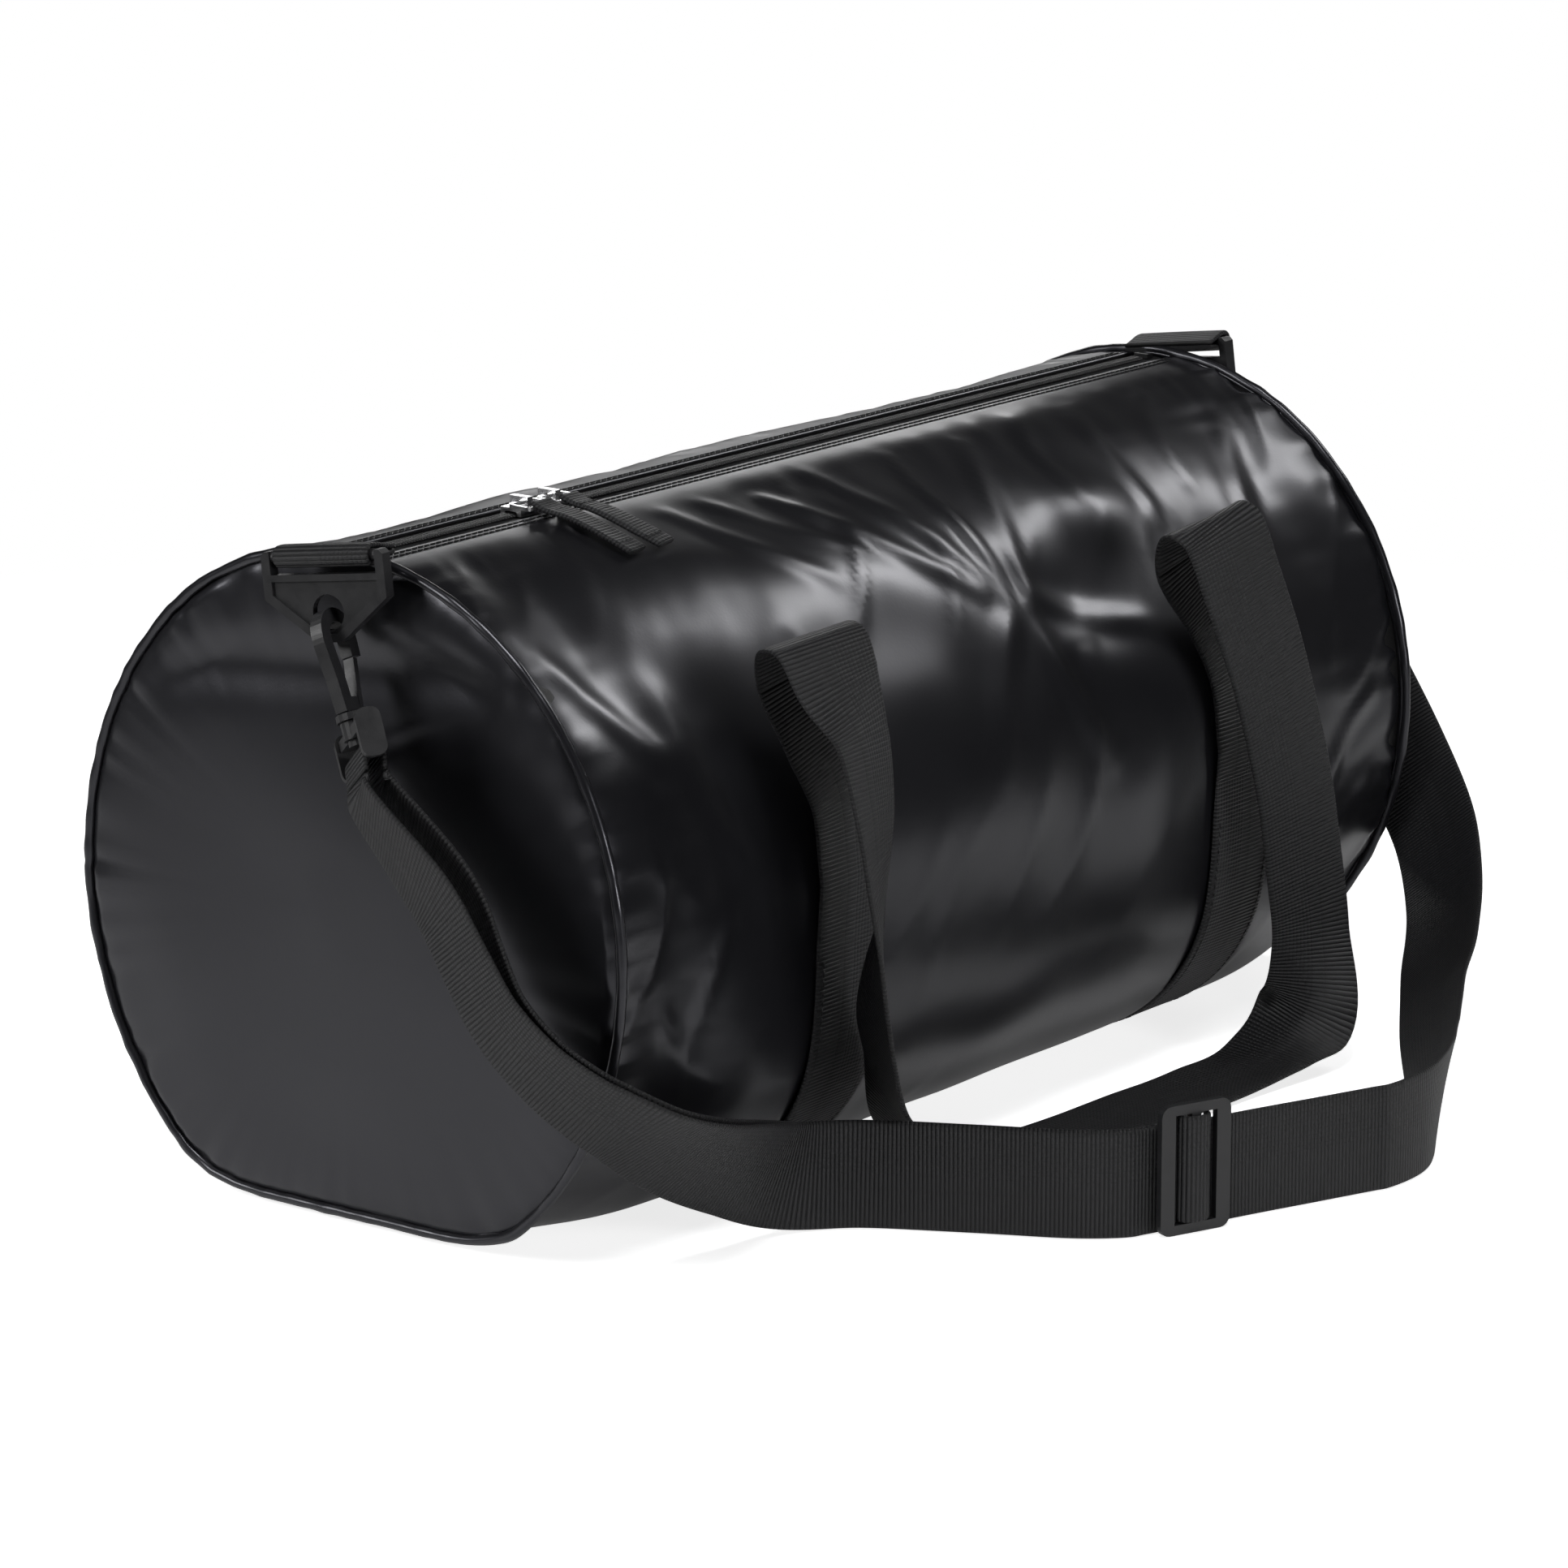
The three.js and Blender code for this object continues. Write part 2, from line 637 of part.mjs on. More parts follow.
// A doubled length of ribbon folded round the ring's bar and lying on the bag
function pullTab() {
  const barY = -PULL_RING_REACH * Math.cos(PULL_RING_DIP);
  const barZ = wireZ() - PULL_RING_REACH * Math.sin(PULL_RING_DIP);
  const half = PULL_THICK / 2;
  const eye = WIRE / 2 + GAP;
  const top = [];
  const under = [];
  const tabSteps = 6;
  for (let k = 1; k <= tabSteps; k += 1) {
    const y = barY - 3 - ((PULL_LENGTH - 3) * k) / tabSteps;
    const rest = topZ(y, half + 0.5);
    const ease = smooth(k, 0, 3);
    const z = lerp(barZ, rest, ease);
    top.push([y, z + half]);
    under.unshift([y, z - half]);
  }
  const nose = [];
  for (let k = 0; k <= 8; k += 1) {
    const turn = -Math.PI / 2 + (Math.PI * k) / 8;
    const reach = eye + PULL_THICK / 2;
    nose.push([barY + reach * Math.cos(turn), barZ + reach * Math.sin(turn)]);
  }
  const hole = holePath(roundPath(barY, barZ, eye * 1.25, 12));
  return plateX([...nose, ...top, ...under], PULL_WIDTH, [hole]);
}

// ---- strap hardware, built about the ring's bar with +x outward ----

const mirrored = (points) => [...points, ...points.slice().reverse().map(([y, z]) => [-y, z])];

function strapRing() {
  const top = BAR_THICK / 2;
  const edge = mirrored([
    [RING_TIP_HALF, RING_TIP],
    [RING_HALF_WIDTH, RING_SHOULDER],
    [RING_HALF_WIDTH, top - 1.5],
    [RING_HALF_WIDTH - 1.5, top],
  ]);
  const inside = RING_HALF_WIDTH - RING_WALL;
  const recessTop = WINDOW_BOTTOM - CROSSBAR;
  const recess = holePath(mirrored([
    [inside, recessTop],
    [inside, RING_SHOULDER + 1.4],
    [3.2, HOLE_Z - HOLE_RADIUS - 1.1],
  ]));
  const frame = plateX(edge, RING_THICK, [recess]);
  const sheet = plateX(edge, RING_PLATE);
  const bore = plateX(roundPath(0, HOLE_Z, HOLE_RADIUS, 24), RING_THICK + 2);
  const notch = box(-RING_THICK, RING_THICK, -inside, inside, WINDOW_BOTTOM, top + 1);
  const bar = rod(top, -inside - 1, inside + 1, 16).rotateX(Math.PI / 2);
  return join(cut(join(frame, sheet), bore, notch), bar);
}

// Webbing sewn into the end seam and turned round the ring's bar
function ringTab(side) {
  const inner = BAR_THICK / 2 + GAP;
  const outer = inner + WEB_THICK;
  const seam = -(BAR_OUT - BAG_LENGTH / 2 - WALL - 3 * GAP);
  const tail = seam - 4;
  const arc = (radius) => {
    const points = [];
    for (let k = 0; k <= 10; k += 1) {
      const turn = -Math.PI / 2 + (Math.PI * k) / 10;
      points.push([radius * Math.cos(turn), radius * Math.sin(turn)]);
    }
    return points;
  };
  const back = [[tail, outer - 1.6], [tail, -outer + 1.6]];
  const eyeBack = [[-3.4, inner], [-5.4, 0], [-3.4, -inner]];
  const hole = holePath([...arc(inner), ...eyeBack].reverse());
  const loop = plateY([...arc(outer), [-6, outer], ...back, [-6, -outer]], WEB_WIDTH, [hole]);
  const beyond = box(tail - 9, seam, -WEB_WIDTH, WEB_WIDTH, -WEB_WIDTH, WEB_WIDTH);
  return cut(loop, beyond.rotateZ(side * rad(RING_YAW)));
}

function hookRoute() {
  const points = [[3.8, COLLAR_Z + 2], [5, -16], [HOOK_BEND, -3]];
  const turns = 8;
  for (let k = 0; k <= turns; k += 1) {
    const turn = (Math.PI * k) / turns;
    points.push([HOOK_BEND * Math.cos(turn), HOOK_BEND * Math.sin(turn)]);
  }
  points.push([-HOOK_BEND, NOSE_Z]);
  return points.map(([x, z]) => [x, 0, z, 0, 1, 0]);
}

function snapHook() {
  const collarLow = COLLAR_Z - COLLAR_THICK / 2;
  const bow = webbing(layRoute(hookRoute(), 2), HOOK_WIDTH, HOOK_THICK);
  const block = box(-1.8, 5.4, -HOOK_WIDTH / 2, HOOK_WIDTH / 2, COLLAR_Z, COLLAR_Z + 7);
  const collar = rod(COLLAR_RADIUS, collarLow, COLLAR_Z + COLLAR_THICK / 2);
  const shaftEnd = collarLow - GAP - BARREL_LENGTH - GAP;
  const shaft = rod(SHAFT_RADIUS, shaftEnd - 1, COLLAR_Z);
  const knob = rod(KNOB_RADIUS, shaftEnd - KNOB_THICK, shaftEnd);
  return join(bow, block, collar, shaft, knob);
}

function hookGate() {
  const stations = [[-3.3, GATE_BASE], [-4.7, -18], [-6.4, NOSE_Z - 2 * GAP]];
  const route = layRoute(stations.map(([x, z]) => [x, 0, z, 0, 1, 0]), 3);
  return webbing(route, HOOK_WIDTH - 0.6, GATE_THICK);
}

const baseTop = () => COLLAR_Z - COLLAR_THICK / 2 - GAP;
const crossZ = () => baseTop() - ARM_LENGTH + CROSS_RADIUS + 1.4;

function swivelBase() {
  const top = baseTop();
  const low = top - BARREL_LENGTH;
  const armIn = WEB_WIDTH / 2 + 2 * GAP;
  const arm = (side) => {
    const shape = roundedBox(ARM_WIDTH / 2, ARM_LENGTH / 2, 3.5)
      .map(([x, z]) => [x, z + top - ARM_LENGTH / 2]);
    return plateY(shape, ARM_THICK).translate(0, side * (armIn + ARM_THICK / 2), 0);
  };
  const bridge = box(-3.2, 3.2, -armIn - 1, armIn + 1, low, low + BRIDGE_HEIGHT);
  const barrel = rod(BARREL_RADIUS, low, top);
  const cross = rod(CROSS_RADIUS, -armIn - 1, armIn + 1, 14).rotateX(Math.PI / 2)
    .translate(0, 0, crossZ());
  const bore = rod(SHAFT_RADIUS + GAP, low - 1, top + 1);
  return cut(join(barrel, bridge, arm(1), arm(-1), cross), bore);
}

const loopReach = () => CROSS_RADIUS + GAP + WEB_THICK / 2;

// End of the strap's webbing, doubled over the base's crossbar
function strapLoop() {
  const stations = [];
  const reach = loopReach();
  stations.push([reach, 0, crossZ() - LOOP_TAIL, 0, 1, 0], [reach, 0, crossZ() - 3, 0, 1, 0]);
  for (let k = 0; k <= 6; k += 1) {
    const turn = (Math.PI * k) / 6;
    stations.push([reach * Math.cos(turn), 0, crossZ() + reach * Math.sin(turn), 0, 1, 0]);
  }
  stations.push([-reach, 0, crossZ() - 3, 0, 1, 0], [-reach, 0, crossZ() - LOOP_TAIL, 0, 1, 0]);
  return webbing(layRoute(stations, 2), WEB_WIDTH, WEB_THICK);
}

function hardwareFrames(side) {
  const ring = new THREE.Group();
  ring.position.set(side * BAR_OUT, BAR_Y, BAR_Z);
  const facing = side > 0 ? 0 : Math.PI;
  ring.rotation.set(rad(-side * RING_SWAY), 0, facing - side * rad(RING_YAW), "ZXY");
  const hung = new THREE.Group();
  hung.rotation.y = rad(-RING_LEAN);
  const hook = new THREE.Group();
  hook.position.set(0, 0, RIM_Z);
  hook.rotation.set(rad(-side * HOOK_SWAY), rad(-HOOK_LEAN), 0, "ZXY");
  const base = new THREE.Group();
  base.rotation.z = rad(-side * SWIVEL_TURN);
  bag.add(ring);
  ring.add(hung);
  hung.add(hook);
  hook.add(base);
  bag.updateMatrixWorld(true);
  return { ring, hung, hook, base };
}

function strapHardware(side, name) {
  const frames = hardwareFrames(side);
  addMesh(`ring_tab_${name}`, ringTab(side), WEBBING, frames.ring);
  addMesh(`strap_ring_${name}`, strapRing(), MOULDED, frames.hung);
  addMesh(`snap_hook_${name}`, snapHook(), MOULDED, frames.hook);
  addMesh(`hook_gate_${name}`, hookGate(), MOULDED, frames.hook);
  addMesh(`swivel_base_${name}`, swivelBase(), MOULDED, frames.base);
  addMesh(`strap_loop_${name}`, strapLoop(), WEBBING, frames.base);
  return frames;
}

// ---- shoulder strap ----

// The strap's station just below one leg of the webbing loop
function loopEnd(base, leg, below) {
  const spot = vec(leg * loopReach(), 0, crossZ() - LOOP_TAIL - below);
  spot.applyMatrix4(base.matrixWorld);
  const side = vec(0, 1, 0).transformDirection(base.matrixWorld);
  return [spot.x, spot.y, spot.z, side.x, side.y, side.z];
}

function strapRoutes(left, right) {
  const flip = ([x, y, z, a, b, c]) => [x, y, z, -a, -b, -c];
  const start = [loopEnd(left.base, 1, 3 * GAP), loopEnd(left.base, 1, 6)];
  const finish = [loopEnd(right.base, 1, 6), loopEnd(right.base, 1, 3 * GAP)].map(flip);
  const steps = 4;
  const whole = layRoute([...start, ...STRAP, ...finish], steps);
  const atDrop = (start.length + DROP_END) * steps;
  const atFront = (start.length + FRONT_END) * steps;
  return {
    whole,
    drop: trimmed(whole.slice(0, atDrop + 1), 0, GAP),
    front: whole.slice(atDrop, atFront + 1),
    rise: trimmed(whole.slice(atFront), GAP, 0),
  };
}

// Second layer, from the hook's loop back to the adjuster, on the bag's side of the first
function returnRoute(whole, base) {
  const near = WEB_THICK + 2 * GAP;
  const stop = whole.findIndex((spot) => spot.point.x > ADJUSTER_X - WRAP_WIDTH / 2 - 1.5
    && spot.point.y < STRAP[DROP_END][1] - 60);
  const apart = 2 * loopReach();
  const leaving = vec(-1, 0, 0).transformDirection(base.matrixWorld);
  return whole.slice(0, stop).map((spot, k) => {
    const early = 1 - smooth(k, 4, 22);
    const toBag = spot.face.clone().multiplyScalar(-1);
    const way = toBag.lerp(leaving, 1 - smooth(k, 0, 6)).normalize();
    const bow = 3 * Math.sin(Math.PI * smooth(k, 0, 16));
    const off = near + (apart - near) * early + bow;
    return { ...spot, point: spot.point.clone().addScaledVector(way, off) };
  });
}

// The adjuster stands on the strap's straight front length, outside both layers
function adjusterFrame() {
  const [a, b] = STRAIGHT.map((k) => vec(STRAP[k][0], STRAP[k][1], STRAP[k][2]));
  const along = b.clone().sub(a).normalize();
  const outward = vec(along.y, -along.x, 0);
  const stand = WEB_THICK / 2 + GAP + WEB_THICK + GAP + ADJUSTER_THICK / 2;
  const group = new THREE.Group();
  group.position.copy(a.addScaledVector(along, (ADJUSTER_X - a.x) / along.x));
  group.position.addScaledVector(outward, stand);
  group.position.z = ADJUSTER_HEIGHT / 2;
  group.rotation.z = Math.atan2(along.y, along.x);
  bag.add(group);
  return group;
}

function adjuster() {
  const half = WEB_WIDTH / 2 + 2 * GAP;
  const outer = roundedBox(ADJUSTER_WIDTH / 2, ADJUSTER_HEIGHT / 2, 4);
  const near = CENTRE_BAR / 2;
  const far = ADJUSTER_WIDTH / 2 - ADJUSTER_BAR;
  const slot = (low, high) => box(low, high, -ADJUSTER_THICK, ADJUSTER_THICK, -half, half);
  return cut(plateY(outer, ADJUSTER_THICK), slot(near, far), slot(-far, -near));
}

function adjusterWrap() {
  const inX = CENTRE_BAR / 2 + GAP;
  const inY = ADJUSTER_THICK / 2 + GAP;
  const outer = roundedBox(WRAP_WIDTH / 2, inY + WEB_THICK, 2.2, 5);
  const inner = roundedBox(inX, inY, 0.6, 2).reverse();
  const shape = new THREE.Shape(outer.map(([x, y]) => new THREE.Vector2(x, y)));
  shape.holes = [holePath(inner)];
  const body = new THREE.ExtrudeGeometry(shape, { depth: WEB_WIDTH, bevelEnabled: false });
  return body.translate(0, 0, -WEB_WIDTH / 2);
}

function shoulderStrap(left, right) {
  const routes = strapRoutes(left, right);
  const lay = (name, route) => addMesh(name, webbing(route, WEB_WIDTH, WEB_THICK), WEBBING);
  lay("strap_drop", routes.drop);
  lay("strap_front", routes.front);
  lay("strap_rise", routes.rise);
  lay("strap_return", returnRoute(routes.whole, left.base));
  const frame = adjusterFrame();
  addMesh("strap_adjuster", adjuster(), MOULDED, frame);
  addMesh("adjuster_wrap", adjusterWrap(), WEBBING, frame);
}

// ---- handles ----

// Half a turn about the vertical takes the front handle to the back, where it folds over lower
const settled = (z) => (z > BAND_TOP ? lerp(BAND_TOP, z, BACK_FOLD_SHARE) : z);
const stood = (y, z) => y - BACK_FOLD_STAND * smooth(z, BAND_TOP, BAND_TOP + 30);
const turned = ([x, y, z, a, b, c]) => [-x, -stood(y, z), settled(z), -a, -b, c];
const STEPS = 4;

const frontHandle = () => layRoute(HANDLE, STEPS);
const backHandle = () => layRoute(HANDLE.map(turned), STEPS);
const between = (route, start, finish) => route.slice(start * STEPS, finish * STEPS + 1);

// A run of the handle with its far end first, so that its faces keep to the same side
function backwards(route) {
  const flip = (spot) => ({ ...spot, face: spot.face.clone().negate() });
  return [...route].reverse().map(flip);
}

// Webbing under the bag, from the front handle's band top to the back handle's
function underside(side) {
  const across = vec(-side, 0, 0);
  const clear = GAP + WEB_THICK / 2;
  const points = wrapAngles(186, 354).map((degrees) => {
    const press = pressAt(outline(side * BAND_X, degrees));
    return outlinePoint(side * BAND_X, degrees, lerp(clear, -WEB_THICK / 2, press));
  });
  return points.map((point, k) => {
    const ahead = points[Math.min(k + 1, points.length - 1)];
    const along = ahead.clone().sub(points[Math.max(k - 1, 0)]).normalize();
    return { point, side: across, face: vec(0, 0, 0).crossVectors(along, across) };
  });
}

// Webbing sewn round the underside, from one handle's rising strand to the other's
function handleBand(side) {
  const last = HANDLE.length - 1;
  const leftRise = (route) => between(route, 0, RISE_LEFT_END);
  const rightRise = (route) => between(route, RISE_RIGHT_START, last);
  const front = side < 0 ? backwards(leftRise(frontHandle())) : rightRise(frontHandle());
  const back = side < 0 ? backwards(rightRise(backHandle())) : leftRise(backHandle());
  return webbing([...front, ...underside(side), ...back], WEB_WIDTH, WEB_THICK);
}

function handle(route, name) {
  const add = (label, from, to, gap = 0) => {
    const run = trimmed(between(route, from, to), gap, gap);
    addMesh(`handle_${name}_${label}`, webbing(run, WEB_WIDTH, WEB_THICK), WEBBING);
  };
  add("fold_a", RISE_LEFT_END, FOLD_LEFT_END, GAP);
  add("strand_a", FOLD_LEFT_END, STRAND_LEFT_END);
  add("slack", STRAND_LEFT_END, STRAND_RIGHT_START, GAP);
  add("strand_b", STRAND_RIGHT_START, FOLD_RIGHT_START);
  add("fold_b", FOLD_RIGHT_START, RISE_RIGHT_START, GAP);
}

// ---- assembly ----

addMesh("body_panel", bodyPanel(), COATED);
for (const [side, name] of [[-1, "left"], [1, "right"]]) {
  addMesh(`end_panel_${name}`, endPanel(side), COATED);
  addMesh(`end_piping_${name}`, endPiping(side), COATED);
  addMesh(`seam_binding_${name}`, seamBinding(side), WEBBING);
  addMesh(`zip_end_stop_${name}`, zipStop(side), NYLON);
  addMesh(`handle_band_${name}`, handleBand(side), WEBBING);
}
for (const [front, name] of [[-1, "front"], [1, "back"]]) {
  addMesh(`zip_tape_${name}`, zipTape(front), WEBBING);
  addMesh(`zip_coil_${name}`, zipCoil(front), NYLON);
}
["left", "right"].forEach((name, k) => {
  const place = new THREE.Group();
  place.position.x = SLIDER_X[k];
  bag.add(place);
  addMesh(`zip_slider_${name}`, zipSlider(), STEEL, place);
  addMesh(`slider_plate_${name}`, sliderPlate(), STEEL, place);
  addMesh(`pull_ring_${name}`, pullRing(), STEEL, place);
  addMesh(`pull_tab_${name}`, pullTab(), WEBBING, place);
});
const leftFrames = strapHardware(-1, "left");
const rightFrames = strapHardware(1, "right");
shoulderStrap(leftFrames, rightFrames);
handle(frontHandle(), "front");
handle(backHandle(), "back");
bag.updateMatrixWorld(true);

export default bag;
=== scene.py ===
# A barrel duffel bag: coated body, round ends, zip, webbing handles and shoulder strap

import json
import math

import bpy
import numpy as np
from bpy.props import FloatProperty, FloatVectorProperty, PointerProperty
from mathutils import Vector, noise
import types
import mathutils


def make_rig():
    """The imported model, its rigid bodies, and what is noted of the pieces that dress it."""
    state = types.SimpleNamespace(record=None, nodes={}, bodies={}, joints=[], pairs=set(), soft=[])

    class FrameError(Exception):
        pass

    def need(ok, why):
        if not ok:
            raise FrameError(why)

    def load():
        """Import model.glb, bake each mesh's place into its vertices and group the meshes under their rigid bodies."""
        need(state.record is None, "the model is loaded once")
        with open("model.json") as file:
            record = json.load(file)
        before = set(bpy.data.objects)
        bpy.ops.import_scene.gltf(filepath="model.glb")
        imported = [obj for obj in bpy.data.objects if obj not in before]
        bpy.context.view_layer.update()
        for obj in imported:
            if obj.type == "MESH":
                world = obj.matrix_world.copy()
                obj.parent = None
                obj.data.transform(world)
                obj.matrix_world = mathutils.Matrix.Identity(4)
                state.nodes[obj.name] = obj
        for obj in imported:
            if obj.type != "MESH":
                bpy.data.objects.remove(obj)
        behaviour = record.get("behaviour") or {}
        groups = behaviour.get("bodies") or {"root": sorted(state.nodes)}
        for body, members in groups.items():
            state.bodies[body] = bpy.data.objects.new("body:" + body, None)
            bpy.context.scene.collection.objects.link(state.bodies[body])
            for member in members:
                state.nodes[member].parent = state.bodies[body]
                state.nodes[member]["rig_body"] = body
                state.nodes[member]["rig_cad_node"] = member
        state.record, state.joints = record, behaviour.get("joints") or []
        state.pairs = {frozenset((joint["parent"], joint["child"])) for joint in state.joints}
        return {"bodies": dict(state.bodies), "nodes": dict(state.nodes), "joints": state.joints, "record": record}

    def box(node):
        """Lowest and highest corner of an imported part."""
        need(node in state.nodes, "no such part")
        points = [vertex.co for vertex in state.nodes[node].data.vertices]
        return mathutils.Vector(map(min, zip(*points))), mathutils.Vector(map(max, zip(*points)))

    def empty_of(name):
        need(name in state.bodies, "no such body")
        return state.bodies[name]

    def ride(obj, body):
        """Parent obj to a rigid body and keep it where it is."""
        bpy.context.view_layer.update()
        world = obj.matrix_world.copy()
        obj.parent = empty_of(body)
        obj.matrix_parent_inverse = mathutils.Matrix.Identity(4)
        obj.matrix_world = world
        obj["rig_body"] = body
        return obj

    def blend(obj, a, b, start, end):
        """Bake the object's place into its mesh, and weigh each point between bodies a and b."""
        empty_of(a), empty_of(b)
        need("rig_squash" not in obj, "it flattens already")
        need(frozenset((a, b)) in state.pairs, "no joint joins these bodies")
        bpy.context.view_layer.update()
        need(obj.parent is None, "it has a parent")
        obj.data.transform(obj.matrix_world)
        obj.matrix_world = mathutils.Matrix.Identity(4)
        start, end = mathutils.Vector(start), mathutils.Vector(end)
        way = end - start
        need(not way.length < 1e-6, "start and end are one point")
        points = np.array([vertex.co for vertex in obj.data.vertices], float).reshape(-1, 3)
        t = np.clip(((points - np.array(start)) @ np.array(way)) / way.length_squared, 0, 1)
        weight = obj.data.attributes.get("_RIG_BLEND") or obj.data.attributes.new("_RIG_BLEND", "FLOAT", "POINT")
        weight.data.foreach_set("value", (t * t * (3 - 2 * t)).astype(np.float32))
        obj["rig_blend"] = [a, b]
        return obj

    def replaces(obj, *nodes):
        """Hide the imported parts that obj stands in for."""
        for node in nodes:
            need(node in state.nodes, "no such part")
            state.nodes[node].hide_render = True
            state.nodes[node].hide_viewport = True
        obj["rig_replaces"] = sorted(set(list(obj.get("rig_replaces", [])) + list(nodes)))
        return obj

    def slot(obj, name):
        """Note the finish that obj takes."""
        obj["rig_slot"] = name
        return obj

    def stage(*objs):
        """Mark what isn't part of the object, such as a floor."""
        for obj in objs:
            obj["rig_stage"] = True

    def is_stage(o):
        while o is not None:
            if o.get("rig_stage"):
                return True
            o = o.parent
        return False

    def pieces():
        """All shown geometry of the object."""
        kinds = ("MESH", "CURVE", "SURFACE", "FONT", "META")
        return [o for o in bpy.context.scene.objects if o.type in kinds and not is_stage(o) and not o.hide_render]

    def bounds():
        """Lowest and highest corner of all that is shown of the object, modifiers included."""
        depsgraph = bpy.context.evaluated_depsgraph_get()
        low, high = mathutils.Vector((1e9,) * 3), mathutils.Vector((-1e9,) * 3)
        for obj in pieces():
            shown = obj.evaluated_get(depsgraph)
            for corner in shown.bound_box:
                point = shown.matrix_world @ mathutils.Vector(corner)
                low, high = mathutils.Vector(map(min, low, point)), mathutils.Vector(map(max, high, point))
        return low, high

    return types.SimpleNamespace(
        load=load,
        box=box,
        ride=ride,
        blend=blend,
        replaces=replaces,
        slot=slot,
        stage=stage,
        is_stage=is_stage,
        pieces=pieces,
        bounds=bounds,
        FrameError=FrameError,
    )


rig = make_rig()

bl_info = {
    "name": "Barrel duffel bag",
    "version": (1, 0, 0),
    "blender": (4, 5, 0),
    "location": "View3D > Sidebar > Duffel",
    "description": "Builds the soft goods and finishes of a barrel duffel bag",
    "category": "Object",
}

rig.load()

MM = 0.001
SIZES_FILE = "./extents.json"
# Start of every finish's name
LOOK = "duffel "
# Millimetres for one degree round the body, and round an end seam
ARC = 2.28
SEAM_ARC = 2.2
# The most that the folds stand out, on the body and on an end panel
BODY_PUFF = 4.0
END_PUFF = 2.8
# How far the webbing's turn stands from a hook's crossbar, and from a ring's bar
LOOP_REACH = 3.4
TAB_REACH = 3.2

# The bag's body, in millimetres
HALF_LENGTH = 254.0
END_HALF_WIDTH = 125.0
BELLY_HALF_WIDTH = 129.0
TOP = 247.0
AXIS = 115.5
ROUND_DROP = 131.0
SLUMP_DROP = 119.0
SLUMP_POWER = 3.2
SLUMP_FROM = 150.0
END_LIFT = 4.0
LIFT_FROM = 200.0
WALL = 1.6
SLOT_HALF = 9.5
WEB_WIDTH = 40.0
WEB_THICK = 1.8
BAND_X = 128.0
BAND_TOP = 125.0
GAP = 0.3
BACK_FOLD_SHARE = 0.72
BACK_FOLD_STAND = 7.0

# The camera
AZIMUTH = -52.6
ELEVATION = 14.0
LENS = 149.07
DISTANCE = 2.516
TARGET = (0.0, -0.002, 0.1135)

# Front handle: middle line and the direction across the webbing
HANDLE = [
    (-127.5, -131.5, 125, 1, 0, 0),
    (-129, -129, 155, 1, -0.05, 0),
    (-137, -125, 180, 0.97, -0.2, 0.1),
    (-146, -122, 203, 0.93, -0.3, 0.15),
    (-152, -127, 216, 0.93, -0.3, 0.15),
    (-155, -137, 216, 0.95, -0.25, 0.12),
    (-154.5, -144, 203, 0.97, -0.15, 0.12),
    (-151, -152, 184, 0.98, 0.18, 0),
    (-151.5, -158, 157, 0.95, 0.3, -0.06),
    (-151.5, -160, 133, 0.89, 0.45, 0),
    (-149, -159, 112, 0.8, 0.58, 0.1),
    (-145, -155, 90, 0.65, 0.72, 0.2),
    (-137, -149, 66, 0.4, 0.76, 0.5),
    (-124, -144.5, 45, 0.15, 0.7, 0.7),
    (-108, -142, 20, 0.02, 0.9, 0.43),
    (-84, -144, 6, 0, 1, 0.1),
    (-40, -147, 2.4, 0, 1, 0),
    (20, -150, 2, 0, 1, 0),
    (75, -153, 2.4, 0, 1, 0),
    (108, -157, 7, -0.35, 0.93, -0.12),
    (130, -161, 21, -0.8, 0.55, -0.25),
    (137.5, -157, 49, -0.96, 0.25, -0.11),
    (134.5, -155, 79, -0.96, 0.23, -0.16),
    (126.5, -153, 120, -0.95, 0.2, -0.25),
    (115.5, -150, 157, -0.93, 0.19, -0.31),
    (103, -145, 193, -0.92, 0.2, -0.3),
    (98, -138, 215, -0.93, 0.22, -0.25),
    (98, -129, 217, -0.94, 0.25, -0.2),
    (104, -122, 204, -0.95, 0.25, -0.15),
    (120, -124.5, 178, -0.98, 0.15, -0.08),
    (127.5, -129, 152, -1, 0.05, 0),
    (128.5, -131.5, 125, -1, 0, 0),
]
RISE_LEFT_END = 3
RISE_RIGHT_START = 28

